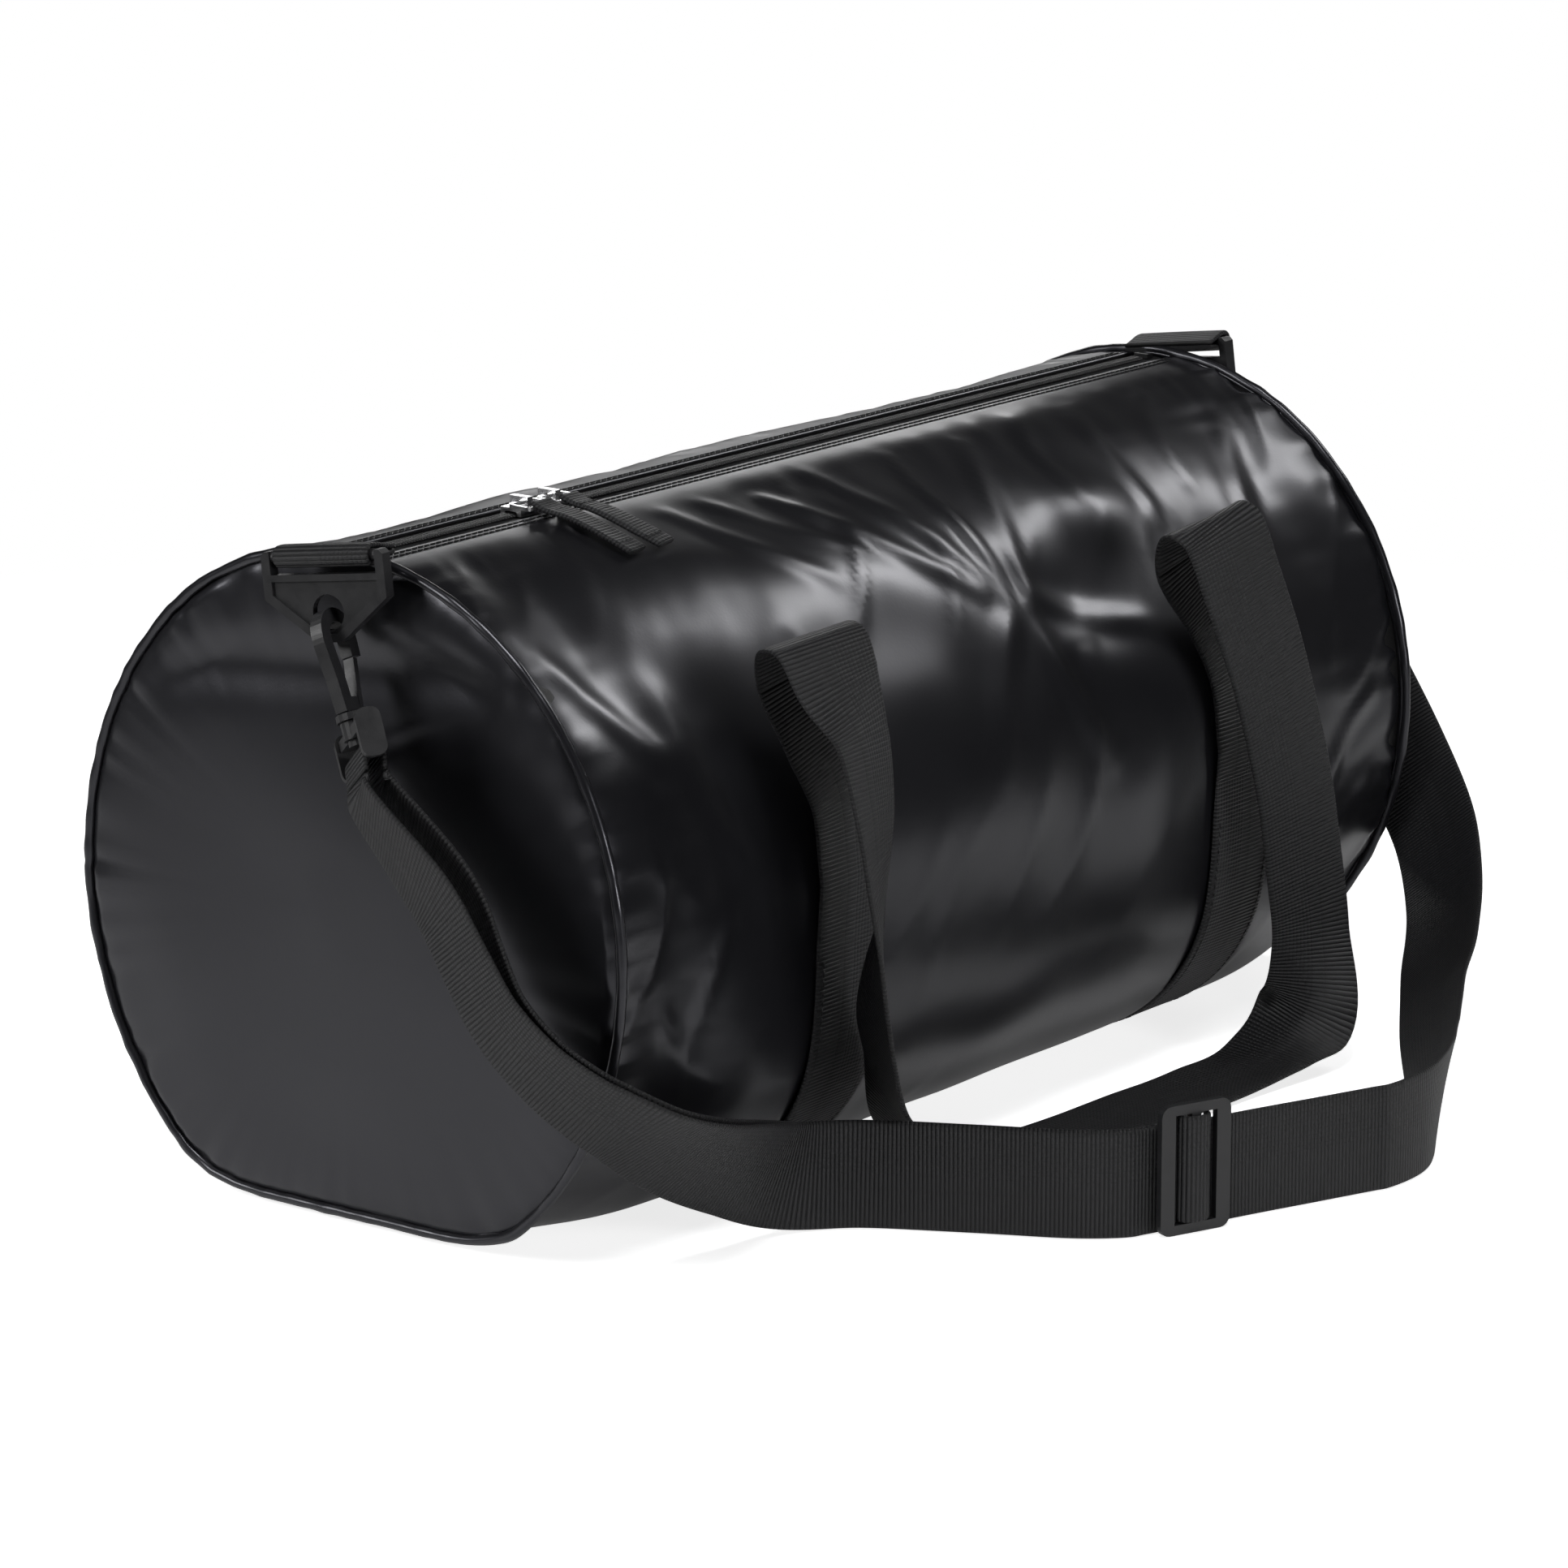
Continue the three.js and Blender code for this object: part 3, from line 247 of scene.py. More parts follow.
# Shoulder strap, from below the left yoke round the front to below the right yoke
STRAP = [
    (-284, -66.5, 136, -0.4, -0.77, 0.5),
    (-284, -80, 117, -0.37, -0.79, 0.49),
    (-283, -93, 98.5, -0.34, -0.79, 0.5),
    (-279, -107, 83.5, -0.28, -0.82, 0.51),
    (-270, -121, 70, -0.12, -0.85, 0.5),
    (-257, -133, 58.5, 0.07, -0.84, 0.54),
    (-232, -136, 45, 0.24, -0.69, 0.68),
    (-199, -135, 32, 0.3, -0.43, 0.85),
    (-168, -134, 21.5, 0.15, -0.12, 0.98),
    (-148, -150, 20.2, 0, 0, 1),
    (-128, -186, 20.2, 0, 0, 1),
    (-110, -220, 20.2, 0, 0, 1),
    (-98, -233.6, 20.2, 0, 0, 1),
    (-92, -236, 20.2, 0, 0, 1),
    (-45, -254.6, 20.2, 0, 0, 1),
    (2, -273.2, 20.2, 0, 0, 1),
    (8, -275.5, 20.2, 0, 0, 1),
    (34, -275, 20.2, 0.05, 0, 1),
    (66, -262, 20.2, 0.12, -0.1, 1),
    (100, -238, 20.5, 0.2, -0.4, 0.9),
    (150, -206, 24, 0.2, -0.6, 0.78),
    (200, -178, 33, 0.2, -0.75, 0.6),
    (238, -156, 46, 0.1, -0.8, 0.58),
    (264, -134, 64, 0.1, -0.85, 0.5),
    (279, -107, 90, 0.3, -0.83, 0.48),
    (285, -82, 120, 0.4, -0.8, 0.45),
    (285, -62, 148, 0.5, -0.8, 0.2),
]
RETURN_STOP_X = -85.0

# Wide soft dents in the front of the body: x, degrees round the section, depth, reach x, degrees
DENTS = [
    (-178, 158, 7.0, 26, 20),
    (-60, 140, 4.0, 40, 13),
    (55, 143, 6.0, 34, 10),
    (95, 128, -4.0, 26, 8),
    (150, 150, 4.5, 30, 14),
    (-20, 168, -3.0, 45, 12),
    (-215, 120, 4.0, 22, 18),
    (205, 135, 4.0, 24, 22),
    (0, 110, 2.5, 60, 10),
    (-140, 30, 5.0, 40, 18),
    (60, 40, 5.0, 50, 16),
    (180, 20, 5.0, 35, 20),
]

# Sharp folds: from x and degrees to x and degrees, height and half width
FOLDS = [
    (-58, 106, 0, 138, 2.6, 5),
    (-20, 103, 12, 140, 2.2, 5),
    (28, 104, 16, 138, 2.4, 4.5),
    (70, 106, 26, 142, 2.2, 5),
    (12, 142, -30, 168, 2.6, 7),
    (22, 143, 40, 172, 2.4, 7),
    (30, 140, 84, 150, 2.8, 6),
    (-110, 104, -72, 128, 1.8, 5),
    (-88, 103, -46, 124, 1.6, 4),
    (112, 103, 92, 126, 1.8, 4.5),
    (150, 103, 128, 134, 2.2, 5),
    (196, 104, 160, 128, 2.0, 5),
    (214, 118, 176, 150, 2.4, 6),
    (232, 176, 196, 190, 2.6, 5),
    (230, 194, 200, 202, 2.2, 5),
    (-196, 138, -170, 176, 2.2, 9),
    (-236, 128, -205, 150, 1.8, 7),
    (-232, 165, -204, 172, 1.6, 6),
    (-230, 190, -196, 204, 1.8, 6),
    (-70, 60, 10, 38, 2.4, 6),
    (60, 70, 120, 30, 2.4, 7),
    (-180, 66, -130, 30, 2.2, 7),
    (180, 64, 150, 28, 2.2, 7),
]


class DuffelSettings(bpy.types.PropertyGroup):
    """Sizes and colours that the builder's pieces share."""

    coat_colour: FloatVectorProperty(
        name="Coated fabric",
        description="Colour under the glossy coat of the body and ends",
        subtype="COLOR",
        size=3,
        default=(0.006, 0.006, 0.0072),
    )
    coat_roughness: FloatProperty(
        name="Coat roughness",
        description="How much the coated fabric blurs what it reflects",
        default=0.31,
        min=0,
        max=1,
    )
    webbing_colour: FloatVectorProperty(
        name="Webbing",
        description="Colour of the handles, bands, strap and pull tabs",
        subtype="COLOR",
        size=3,
        default=(0.0072, 0.0072, 0.008),
    )
    tape_colour: FloatVectorProperty(
        name="Zip tape",
        description="Colour of the zip's tapes and the seam bindings",
        subtype="COLOR",
        size=3,
        default=(0.006, 0.006, 0.0065),
    )
    plastic_colour: FloatVectorProperty(
        name="Moulded plastic",
        description="Colour of the rings, hooks, swivel bases and adjuster",
        subtype="COLOR",
        size=3,
        default=(0.013, 0.013, 0.0143),
    )
    wrinkle_depth: FloatProperty(
        name="Wrinkle depth",
        description="Share of the full depth that the folds and gathers have",
        subtype="FACTOR",
        default=1.0,
        min=0,
        max=3,
    )
    rib_pitch: FloatProperty(
        name="Webbing rib pitch (mm)",
        description="Distance from one rib of the webbing's weave to the next",
        default=1.6,
        min=0.5,
        max=4,
    )


# ---- small mathematics ----


def smooth(value, low, high):
    t = np.clip((np.asarray(value, float) - low) / (high - low), 0, 1)
    return t * t * (3 - 2 * t)


def unit(v):
    return v / np.maximum(np.linalg.norm(v, axis=-1, keepdims=True), 1e-9)


def catmull(points, steps):
    """Centripetal Catmull-Rom through the points, steps samples to a span."""
    pts = np.asarray(points, float)
    first = 2 * pts[0] - pts[1]
    last = 2 * pts[-1] - pts[-2]
    full = np.vstack([first, pts, last])
    out = []
    for i in range(len(pts) - 1):
        p0, p1, p2, p3 = full[i : i + 4]
        d0, d1, d2 = (
            max(float(np.dot(b - a, b - a)) ** 0.25, 1e-4)
            for a, b in ((p0, p1), (p1, p2), (p2, p3))
        )
        t1 = ((p1 - p0) / d0 - (p2 - p0) / (d0 + d1) + (p2 - p1) / d1) * d1
        t2 = ((p2 - p1) / d1 - (p3 - p1) / (d1 + d2) + (p3 - p2) / d2) * d1
        for k in range(steps):
            t = k / steps
            h = (2 * t**3 - 3 * t**2 + 1, t**3 - 2 * t**2 + t, 3 * t**2 - 2 * t**3, t**3 - t**2)
            out.append(h[0] * p1 + h[1] * t1 + h[2] * p2 + h[3] * t2)
    out.append(pts[-1])
    return np.array(out)


def square_to(along, across):
    """The part of each direction across that is square to the direction along."""
    return unit(across - (across * along).sum(1, keepdims=True) * along)


def lay_route(stations, steps):
    """Middle line, direction across and face direction at every sample."""
    s = np.asarray(stations, float)
    middle = catmull(s[:, :3], steps)
    across = catmull(s[:, 3:], steps)
    along = unit(np.gradient(middle, axis=0))
    side = square_to(along, across)
    return middle, side, np.cross(along, side)


def lengths(points):
    steps = np.linalg.norm(np.diff(points, axis=0), axis=1)
    return np.concatenate([[0], np.cumsum(steps)])


def wander(values, seed, scale):
    """Smooth noise in -1..1 along a list of numbers."""
    return np.array([noise.noise(Vector((v / scale, seed, 0.37 * seed))) for v in values])


# ---- meshes ----


def link_mesh(name, verts, faces, uvs=None, shade=True):
    mesh = bpy.data.meshes.new(name)
    mesh.from_pydata([tuple(v) for v in np.asarray(verts) * MM], [], faces)
    if uvs is not None:
        layer = mesh.uv_layers.new(name="weave")
        layer.data.foreach_set("uv", np.asarray(uvs, np.float32).ravel() * MM)
    if shade:
        mesh.polygons.foreach_set("use_smooth", [True] * len(mesh.polygons))
    mesh.update()
    obj = bpy.data.objects.new(name, mesh)
    bpy.context.scene.collection.objects.link(obj)
    return obj


def sheet_mesh(name, grid, wrap=False):
    """A grid of points (rows, columns, 3) as one surface, its last row closed if it wraps."""
    rows, cols = grid.shape[:2]
    faces = []
    for i in range(rows - 1):
        for j in range(cols if wrap else cols - 1):
            k = (j + 1) % cols
            faces.append((i * cols + j, (i + 1) * cols + j, (i + 1) * cols + k, i * cols + k))
    if wrap:
        faces.append(tuple((rows - 1) * cols + j for j in reversed(range(cols))))
    return link_mesh(name, grid.reshape(-1, 3), faces)


def tube_mesh(name, rings, around, along, loop=False):
    """Closed sections (n, m, 3) skinned into a tube, with caps unless it is a loop."""
    n, m = rings.shape[:2]
    faces, uvs = [], []
    for i in range(n if loop else n - 1):
        a = i * m
        b = ((i + 1) % n) * m
        for j in range(m):
            k = (j + 1) % m
            faces.append((a + j, a + k, b + k, b + j))
            v0, v1 = along[i], along[i + 1]
            uvs += [(around[j], v0), (around[j + 1], v0), (around[j + 1], v1), (around[j], v1)]
    if not loop:
        faces.append(tuple(reversed(range(m))))
        faces.append(tuple((n - 1) * m + j for j in range(m)))
        uvs += [(around[j], along[0]) for j in reversed(range(m))]
        uvs += [(around[j], along[-1]) for j in range(m)]
    return link_mesh(name, rings.reshape(-1, 3), faces, uvs)


def web_section(width, thick):
    """Across and height of a webbing's section, with soft edges, and its running length."""
    half = width / 2
    flat = np.linspace(-half + thick * 0.7, half - thick * 0.7, 9)
    turn = np.linspace(math.pi / 2, -math.pi / 2, 6)[1:-1]
    right = [(half - thick * 0.7 + thick * 0.7 * math.cos(a), thick / 2 * math.sin(a)) for a in turn]
    top = [(u, thick / 2) for u in flat]
    bottom = [(-u, -v) for u, v in top]
    left = [(-u, -v) for u, v in right]
    section = np.array(top + right + bottom + left)
    closed = np.vstack([section, section[:1]])
    return section, lengths(closed)


def ribbon(name, route, width=WEB_WIDTH, thick=WEB_THICK, seed=1.0, wave=0.35):
    """Webbing laid along a route, its edges a little uneven."""
    middle, side, face = route
    section, around = web_section(width, thick)
    along = lengths(middle)
    lift = wave * wander(along, seed, 31)
    curl = 0.8 * wander(along, seed + 9, 67)
    rings = (
        middle[:, None, :]
        + section[None, :, 0:1] * side[:, None, :]
        + (
            section[None, :, 1:2]
            + lift[:, None, None]
            + curl[:, None, None] * (section[None, :, 0:1] / width * 2) ** 2 * 0.5
        )
        * face[:, None, :]
    )
    return tube_mesh(name, rings[:, ::-1], around, along)


def capsule(length, radius, sides=6, caps=2):
    """Points and faces of a capsule lying along X."""
    points, faces = [], []
    stations = []
    for k in range(caps + 1):
        a = math.pi / 2 * k / caps
        stations.append((-length / 2 + radius * (1 - math.sin(a)), radius * math.sin(a)))
    stations += [(-x, r) for x, r in reversed(stations)]
    for x, r in stations:
        r = max(r, radius * 0.12)
        for j in range(sides):
            a = 2 * math.pi * j / sides
            points.append((x, r * math.cos(a), r * math.sin(a)))
    n = len(stations)
    for i in range(n - 1):
        for j in range(sides):
            k = (j + 1) % sides
            faces.append((i * sides + j, (i + 1) * sides + j, (i + 1) * sides + k, i * sides + k))
    faces.append(tuple(range(sides)))
    faces.append(tuple((n - 1) * sides + j for j in reversed(range(sides))))
    return np.array(points), faces


def scatter(name, shape, places):
    """One mesh of many copies: places holds (point, along, up) for each."""
    base, base_faces = shape
    verts, faces = [], []
    for point, along, up in places:
        x = unit(np.asarray(along, float))
        z = unit(np.asarray(up, float) - np.dot(up, x) * x)
        y = np.cross(z, x)
        start = len(verts) * len(base)
        verts.append(base @ np.array([x, y, z]) + point)
        faces += [tuple(start + i for i in f) for f in base_faces]
    return link_mesh(name, np.vstack(verts), faces)


def stitch_row(path, up, pitch=3.3):
    """Places for stitches along a path of points with their surface directions."""
    at = lengths(path)
    marks = np.arange(pitch, at[-1] - pitch / 2, pitch)
    spot = np.stack([np.interp(marks, at, path[:, k]) for k in range(3)], 1)
    tops = np.stack([np.interp(marks, at, up[:, k]) for k in range(3)], 1)
    ahead = np.stack([np.interp(marks + 1, at, path[:, k]) for k in range(3)], 1)
    return [(p, a - p, u) for p, a, u in zip(spot, ahead, tops)]


# ---- the body's surface ----


def outline(x, degrees):
    """Distance from the bag's axis at x and an angle round the section."""
    x = np.abs(np.asarray(x, float))
    c, s = np.cos(np.radians(degrees)), np.sin(np.radians(degrees))
    rounding = smooth(x, SLUMP_FROM, HALF_LENGTH)
    half_width = BELLY_HALF_WIDTH + (END_HALF_WIDTH - BELLY_HALF_WIDTH) * rounding
    power = np.where(s >= 0, 2.0, SLUMP_POWER + (2 - SLUMP_POWER) * rounding)
    drop = SLUMP_DROP + (ROUND_DROP - SLUMP_DROP) * rounding
    height = np.where(s >= 0, TOP - AXIS, drop)
    reach = (np.abs(c / half_width) ** power + np.abs(s / height) ** power) ** (-1 / power)
    floor = (AXIS - END_LIFT * smooth(x, LIFT_FROM, HALF_LENGTH)) / np.maximum(-s, 1e-3)
    soft = 1.2 + 5.0 * rounding
    near = np.clip(0.5 + 0.5 * (reach - floor) / (2 * soft), 0, 1)
    blended = reach * (1 - near) + floor * near - 2 * soft * near * (1 - near)
    return np.where(s < 0, blended, reach)


def seam_pucker(degrees, end):
    """Gathers where the body meets an end panel, in -1..1."""
    arc = np.asarray(degrees, float) * SEAM_ARC
    fine = wander(arc, 3.1 + end, 13)
    broad = wander(arc, 7.7 + end, 47)
    gathered = 0.35 + 0.65 * np.clip(0.5 + 1.4 * wander(arc, 5.5 + end, 90), 0, 1)
    return (0.75 * (1 - 2.4 * np.abs(fine)) + 0.8 * broad) * gathered


def fold_lines(X, arc):
    """Sharp folds raised along short lines, with a trough on each side."""
    out = np.zeros_like(X)
    for x0, d0, x1, d1, height, half in FOLDS:
        a = np.array([x0, d0 * ARC])
        run = np.array([x1, d1 * ARC]) - a
        t = np.clip(((X - a[0]) * run[0] + (arc - a[1]) * run[1]) / (run @ run), 0, 1)
        bend = 6 * np.sin(math.pi * t)
        apart = np.hypot(X - a[0] - t * run[0] + bend, arc - a[1] - t * run[1])
        rise = np.exp(-((apart / half) ** 2)) - 0.45 * np.exp(-((apart / (2.4 * half)) ** 2))
        out += height * rise * np.sin(math.pi * (0.12 + 0.8 * t)) ** 0.8
    return out


def wrinkles(x, degrees, depth):
    """How far the coated fabric stands out of the plain outline, a grid in millimetres."""
    X, D = np.meshgrid(x, degrees, indexing="ij")
    out = np.zeros_like(X)
    from_zip = np.abs(((D - 90 + 180) % 360) - 180) * ARC
    for end in (-1, 1):
        s = HALF_LENGTH - end * X
        gather = np.interp(D.ravel(), degrees, seam_pucker(degrees, end)).reshape(D.shape)
        drift = s * 0.06
        out += gather * (2.2 * np.exp(-s / 16) + 1.6 * np.exp(-s / 48)) * np.cos(drift)
        out -= 2.2 * np.exp(-s / 7)
    lines = np.zeros_like(X)
    creases = np.zeros_like(X)
    ridges = np.zeros_like(X)
    for i in range(X.shape[0]):
        for j in range(X.shape[1]):
            u, v = X[i, j], from_zip[i, j]
            front = 1.0 if D[i, j] > 90 else -1.0
            lines[i, j] = noise.noise(Vector(((u + 0.45 * v * front) / 17, v / 95, front)))
            p = Vector((u / 105, D[i, j] / 38, 2.3))
            creases[i, j] = noise.noise(p) + 0.35 * noise.noise(p * 2.3)
            a = noise.noise(Vector(((u + 0.7 * v) / 52, (v - 0.7 * u) / 170, 7.1)))
            patch = noise.noise(Vector((u / 110, v / 80, 5.9)))
            ridges[i, j] = (1 - abs(a)) ** 9 * min(max(0.35 + 1.6 * patch, 0), 1)
    reach = 0.5 + 0.5 * smooth(X, -120, 60)
    out += (1 - 2.2 * np.abs(lines)) * 2.2 * np.exp(-from_zip / 40) * reach
    out += creases * 3.4 * smooth(from_zip, 4, 60)
    out += (ridges - 0.2) * 1.3 * smooth(from_zip, 10, 50)
    out += fold_lines(X, D * ARC)
    for cx, cd, depth_mm, rx, rd in DENTS:
        out -= depth_mm * np.exp(-(((X - cx) / rx) ** 2) - ((D - cd) / rd) ** 2)
    under = smooth(-np.sin(np.radians(D)), 0.55, 0.85)
    band = np.exp(-(((np.abs(X) - BAND_X) / 26) ** 4))
    side = smooth(AXIS + ROUND_DROP * np.sin(np.radians(D)), 118, 150)
    flatten = np.maximum(under, band * (1 - side))
    out *= 1 - flatten
    out = np.where(out > 0, BODY_PUFF * np.tanh(out / BODY_PUFF), out)
    return out * depth * smooth(from_zip, 18, 34) - 0.25


def body_grid(x, degrees, depth, offset=0.0, pressed=True):
    """Points of the body's surface and the directions out of it."""
    X, D = np.meshgrid(x, degrees, indexing="ij")
    r = outline(X, D)
    y, z = r * np.cos(np.radians(D)), AXIS + r * np.sin(np.radians(D))
    step = 1.5
    ra, rb = outline(X, D + step), outline(X, D - step)
    ty = ra * np.cos(np.radians(D + step)) - rb * np.cos(np.radians(D - step))
    tz = ra * np.sin(np.radians(D + step)) - rb * np.sin(np.radians(D - step))
    normal = unit(np.stack([np.zeros_like(X), tz, -ty], -1))
    push = wrinkles(x, degrees, depth) + offset
    if pressed:
        under = 1 - smooth(z, 15, 60)
        near = 1 - smooth(np.abs(np.abs(X) - BAND_X), 20.6, 23.5)
        push = push - under * near * (WEB_THICK + GAP)
    return np.stack([X, y, z], -1) + push[..., None] * normal, normal


# ---- shader groups ----


def new_group(name, inputs, outputs):
    group = bpy.data.node_groups.new(name, "ShaderNodeTree")
    for label, kind, value in inputs:
        socket = group.interface.new_socket(name=label, in_out="INPUT", socket_type=kind)
        if value is not None:
            socket.default_value = value
    for label, kind in outputs:
        group.interface.new_socket(name=label, in_out="OUTPUT", socket_type=kind)
    return group


class Graph:
    """Short hand for placing and wiring shader nodes."""

    def __init__(self, tree):
        self.tree = tree

    def node(self, kind, **values):
        made = self.tree.nodes.new(kind)
        for key, value in values.items():
            setattr(made, key, value)
        return made

    def link(self, a, b):
        self.tree.links.new(a, b)

    def maths(self, operation, a, b=None, c=None):
        made = self.node("ShaderNodeMath", operation=operation)
        for index, value in enumerate((a, b, c)):
            if value is None:
                continue
            if hasattr(value, "links"):
                self.link(value, made.inputs[index])
            else:
                made.inputs[index].default_value = value
        return made.outputs[0]

    def noise(self, vector, scale, detail=3.0, rough=0.55):
        made = self.node("ShaderNodeTexNoise")
        self.link(vector, made.inputs["Vector"])
        made.inputs["Scale"].default_value = scale
        made.inputs["Detail"].default_value = detail
        made.inputs["Roughness"].default_value = rough
        return made.outputs["Fac"]


def grain_group():
    """Leather-like grain and slow variation of a coated fabric: normal and roughness mask."""
    group = new_group(
        "Coated grain",
        [("Strength", "NodeSocketFloat", 0.12)],
        [("Normal", "NodeSocketVector"), ("Mask", "NodeSocketFloat")],
    )
    g = Graph(group)
    start, end = g.node("NodeGroupInput"), g.node("NodeGroupOutput")
    coords = g.node("ShaderNodeTexCoord").outputs["Object"]
    cells = g.node("ShaderNodeTexVoronoi", feature="SMOOTH_F1")
    g.link(coords, cells.inputs["Vector"])
    cells.inputs["Scale"].default_value = 900
    cells.inputs["Smoothness"].default_value = 0.6
    fine = g.noise(coords, 2200, 2)
    soft = g.noise(coords, 60, 3)
    height = g.maths("MULTIPLY_ADD", cells.outputs["Distance"], 0.8, g.maths("MULTIPLY", fine, 0.3))
    height = g.maths("MULTIPLY_ADD", soft, 1.1, height)
    bump = g.node("ShaderNodeBump")
    bump.inputs["Distance"].default_value = 0.00022
    g.link(start.outputs["Strength"], bump.inputs["Strength"])
    g.link(height, bump.inputs["Height"])
    g.link(bump.outputs["Normal"], end.inputs["Normal"])
    g.link(g.noise(coords, 14, 4), end.inputs["Mask"])
    return group


def weave_group():
    """Cross-ribbed weave read from the webbing's own running lengths: normal, and a height that the materials also use
    to paint shade into the grooves and a highlight onto the ribs.
    """
    group = new_group(
        "Ribbed weave",
        [("Pitch", "NodeSocketFloat", 0.0016), ("Depth", "NodeSocketFloat", 0.0007)],
        [("Normal", "NodeSocketVector"), ("Height", "NodeSocketFloat")],
    )
    g = Graph(group)
    start, end = g.node("NodeGroupInput"), g.node("NodeGroupOutput")
    split = g.node("ShaderNodeSeparateXYZ")
    g.link(g.node("ShaderNodeUVMap", uv_map="weave").outputs["UV"], split.inputs[0])
    pitch = start.outputs["Pitch"]
    column = g.maths("DIVIDE", split.outputs["X"], g.maths("MULTIPLY", pitch, 1.15))
    row = g.maths("DIVIDE", split.outputs["Y"], pitch)
    across = g.maths("ABSOLUTE", g.maths("SINE", g.maths("MULTIPLY", column, math.pi)))
    down = g.maths("ABSOLUTE", g.maths("SINE", g.maths("MULTIPLY", row, math.pi)))
    across = g.maths("MULTIPLY_ADD", g.maths("POWER", across, 0.5), 0.35, 0.65)
    height = g.maths("MULTIPLY", across, g.maths("POWER", down, 0.7))
    coords = g.node("ShaderNodeTexCoord").outputs["Object"]
    height = g.maths("MULTIPLY_ADD", g.noise(coords, 3500, 2), 0.25, height)
    bump = g.node("ShaderNodeBump")
    bump.inputs["Strength"].default_value = 0.9
    g.link(start.outputs["Depth"], bump.inputs["Distance"])
    g.link(height, bump.inputs["Height"])
    g.link(bump.outputs["Normal"], end.inputs["Normal"])
    # The height also goes out to the webbing and tape materials, which paint groove shade and rib highlight into their
    # colour with it.
    g.link(height, end.inputs["Height"])
    return group


def mould_group():
    """Slight unevenness of moulded plastic or plated metal: normal and mask."""
    group = new_group(
        "Mould texture",
        [("Depth", "NodeSocketFloat", 0.00005)],
        [("Normal", "NodeSocketVector"), ("Mask", "NodeSocketFloat")],
    )
    g = Graph(group)
    start, end = g.node("NodeGroupInput"), g.node("NodeGroupOutput")
    coords = g.node("ShaderNodeTexCoord").outputs["Object"]
    bump = g.node("ShaderNodeBump")
    bump.inputs["Strength"].default_value = 0.7
    g.link(start.outputs["Depth"], bump.inputs["Distance"])
    g.link(g.noise(coords, 2600, 3), bump.inputs["Height"])
    g.link(bump.outputs["Normal"], end.inputs["Normal"])
    g.link(g.noise(coords, 160, 4), end.inputs["Mask"])
    return group


def material(name, colour, roughness, metallic=0.0, **sockets):
    mat = bpy.data.materials.new(LOOK + name)
    mat.use_nodes = True
    shader = mat.node_tree.nodes["Principled BSDF"]
    shader.inputs["Base Color"].default_value = (*colour, 1)
    shader.inputs["Roughness"].default_value = roughness
    shader.inputs["Metallic"].default_value = metallic
    for key, value in sockets.items():
        shader.inputs[key.replace("_", " ")].default_value = value
    return mat, shader, Graph(mat.node_tree)


def add_group(graph, group, **values):
    node = graph.node("ShaderNodeGroup")
    node.node_tree = group
    for key, value in values.items():
        node.inputs[key].default_value = value
    return node


def map_range(graph, value, low, high, out_low, out_high):
    node = graph.node("ShaderNodeMapRange")
    graph.link(value, node.inputs["Value"])
    ends = {"From Min": low, "From Max": high, "To Min": out_low, "To Max": out_high}
    for key, number in ends.items():
        node.inputs[key].default_value = number
    return node.outputs["Result"]


def vary_roughness(graph, shader, texture, low, high):
    """Lets a texture's mask move the roughness between two values."""
    spread = map_range(graph, texture.outputs["Mask"], 0.3, 0.7, low, high)
    graph.link(spread, shader.inputs["Roughness"])


# Mixes the weave's painted groove shade and painted rib highlight into one base colour, by the weave's height.
def mix_colour(graph, fac, painted_groove_shade, light):
    node = graph.node("ShaderNodeMix", data_type="RGBA")
    graph.link(fac, node.inputs["Factor"])
    node.inputs["A"].default_value = (*painted_groove_shade, 1)
    node.inputs["B"].default_value = (*light, 1)
    return node.outputs["Result"]


def make_materials(settings):
    grain, weave, mould = grain_group(), weave_group(), mould_group()
    pitch = settings.rib_pitch * MM
    rough = settings.coat_roughness

    _, shader, g = material(
        "coated",
        settings.coat_colour,
        rough,
        Coat_Weight=0.2,
        Coat_Roughness=0.2,
        Specular_Tint=(0.9, 0.9, 1.0, 1),
    )
    texture = add_group(g, grain, Strength=0.07)
    g.link(texture.outputs["Normal"], shader.inputs["Normal"])
    vary_roughness(g, shader, texture, rough - 0.03, rough + 0.05)

    for name, tint, share, depth in (
        ("webbing", settings.webbing_colour, 1, 0.0007),
        ("tape", settings.tape_colour, 0.62, 0.0003),
    ):
        _, shader, g = material(name, tint, 0.5, Specular_IOR_Level=0.4)
        texture = add_group(g, weave, Pitch=pitch * share, Depth=depth)
        g.link(texture.outputs["Normal"], shader.inputs["Normal"])
        # Painted shade and painted highlight: the weave's grooves are painted down to a quarter of the tint and its
        # rib tops up to twice the tint.
        painted_groove_shade = tuple(c * 0.25 for c in tint)
        light = tuple(c * 2.0 for c in tint)
        g.link(mix_colour(g, texture.outputs["Height"], painted_groove_shade, light), shader.inputs["Base Color"])

    for name, tint, plain, metallic, depth, low, high in (
        ("moulded", settings.plastic_colour, 0.42, 0.0, 0.00005, 0.36, 0.5),
        ("steel", (0.74, 0.74, 0.75), 0.2, 1.0, 0.00003, 0.14, 0.3),
    ):
        _, shader, g = material(name, tint, plain, metallic)
        texture = add_group(g, mould, Depth=depth)
        g.link(texture.outputs["Normal"], shader.inputs["Normal"])
        vary_roughness(g, shader, texture, low, high)

    material("coil", (0.006, 0.006, 0.0065), 0.36)
    material("thread", (0.005, 0.005, 0.0055), 0.55)


# ---- finishing a piece ----


def give_look(obj, look):
    obj.data.materials.clear()
    obj.data.materials.append(bpy.data.materials[LOOK + look])


def finish_piece(obj, body, look, slot, *nodes):
    """Gives a piece its finish, the body that it rides, its slot and the nodes it stands for."""
    give_look(obj, look)
    if body:
        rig.ride(obj, body)
    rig.slot(obj, slot)
    if nodes:
        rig.replaces(obj, *nodes)


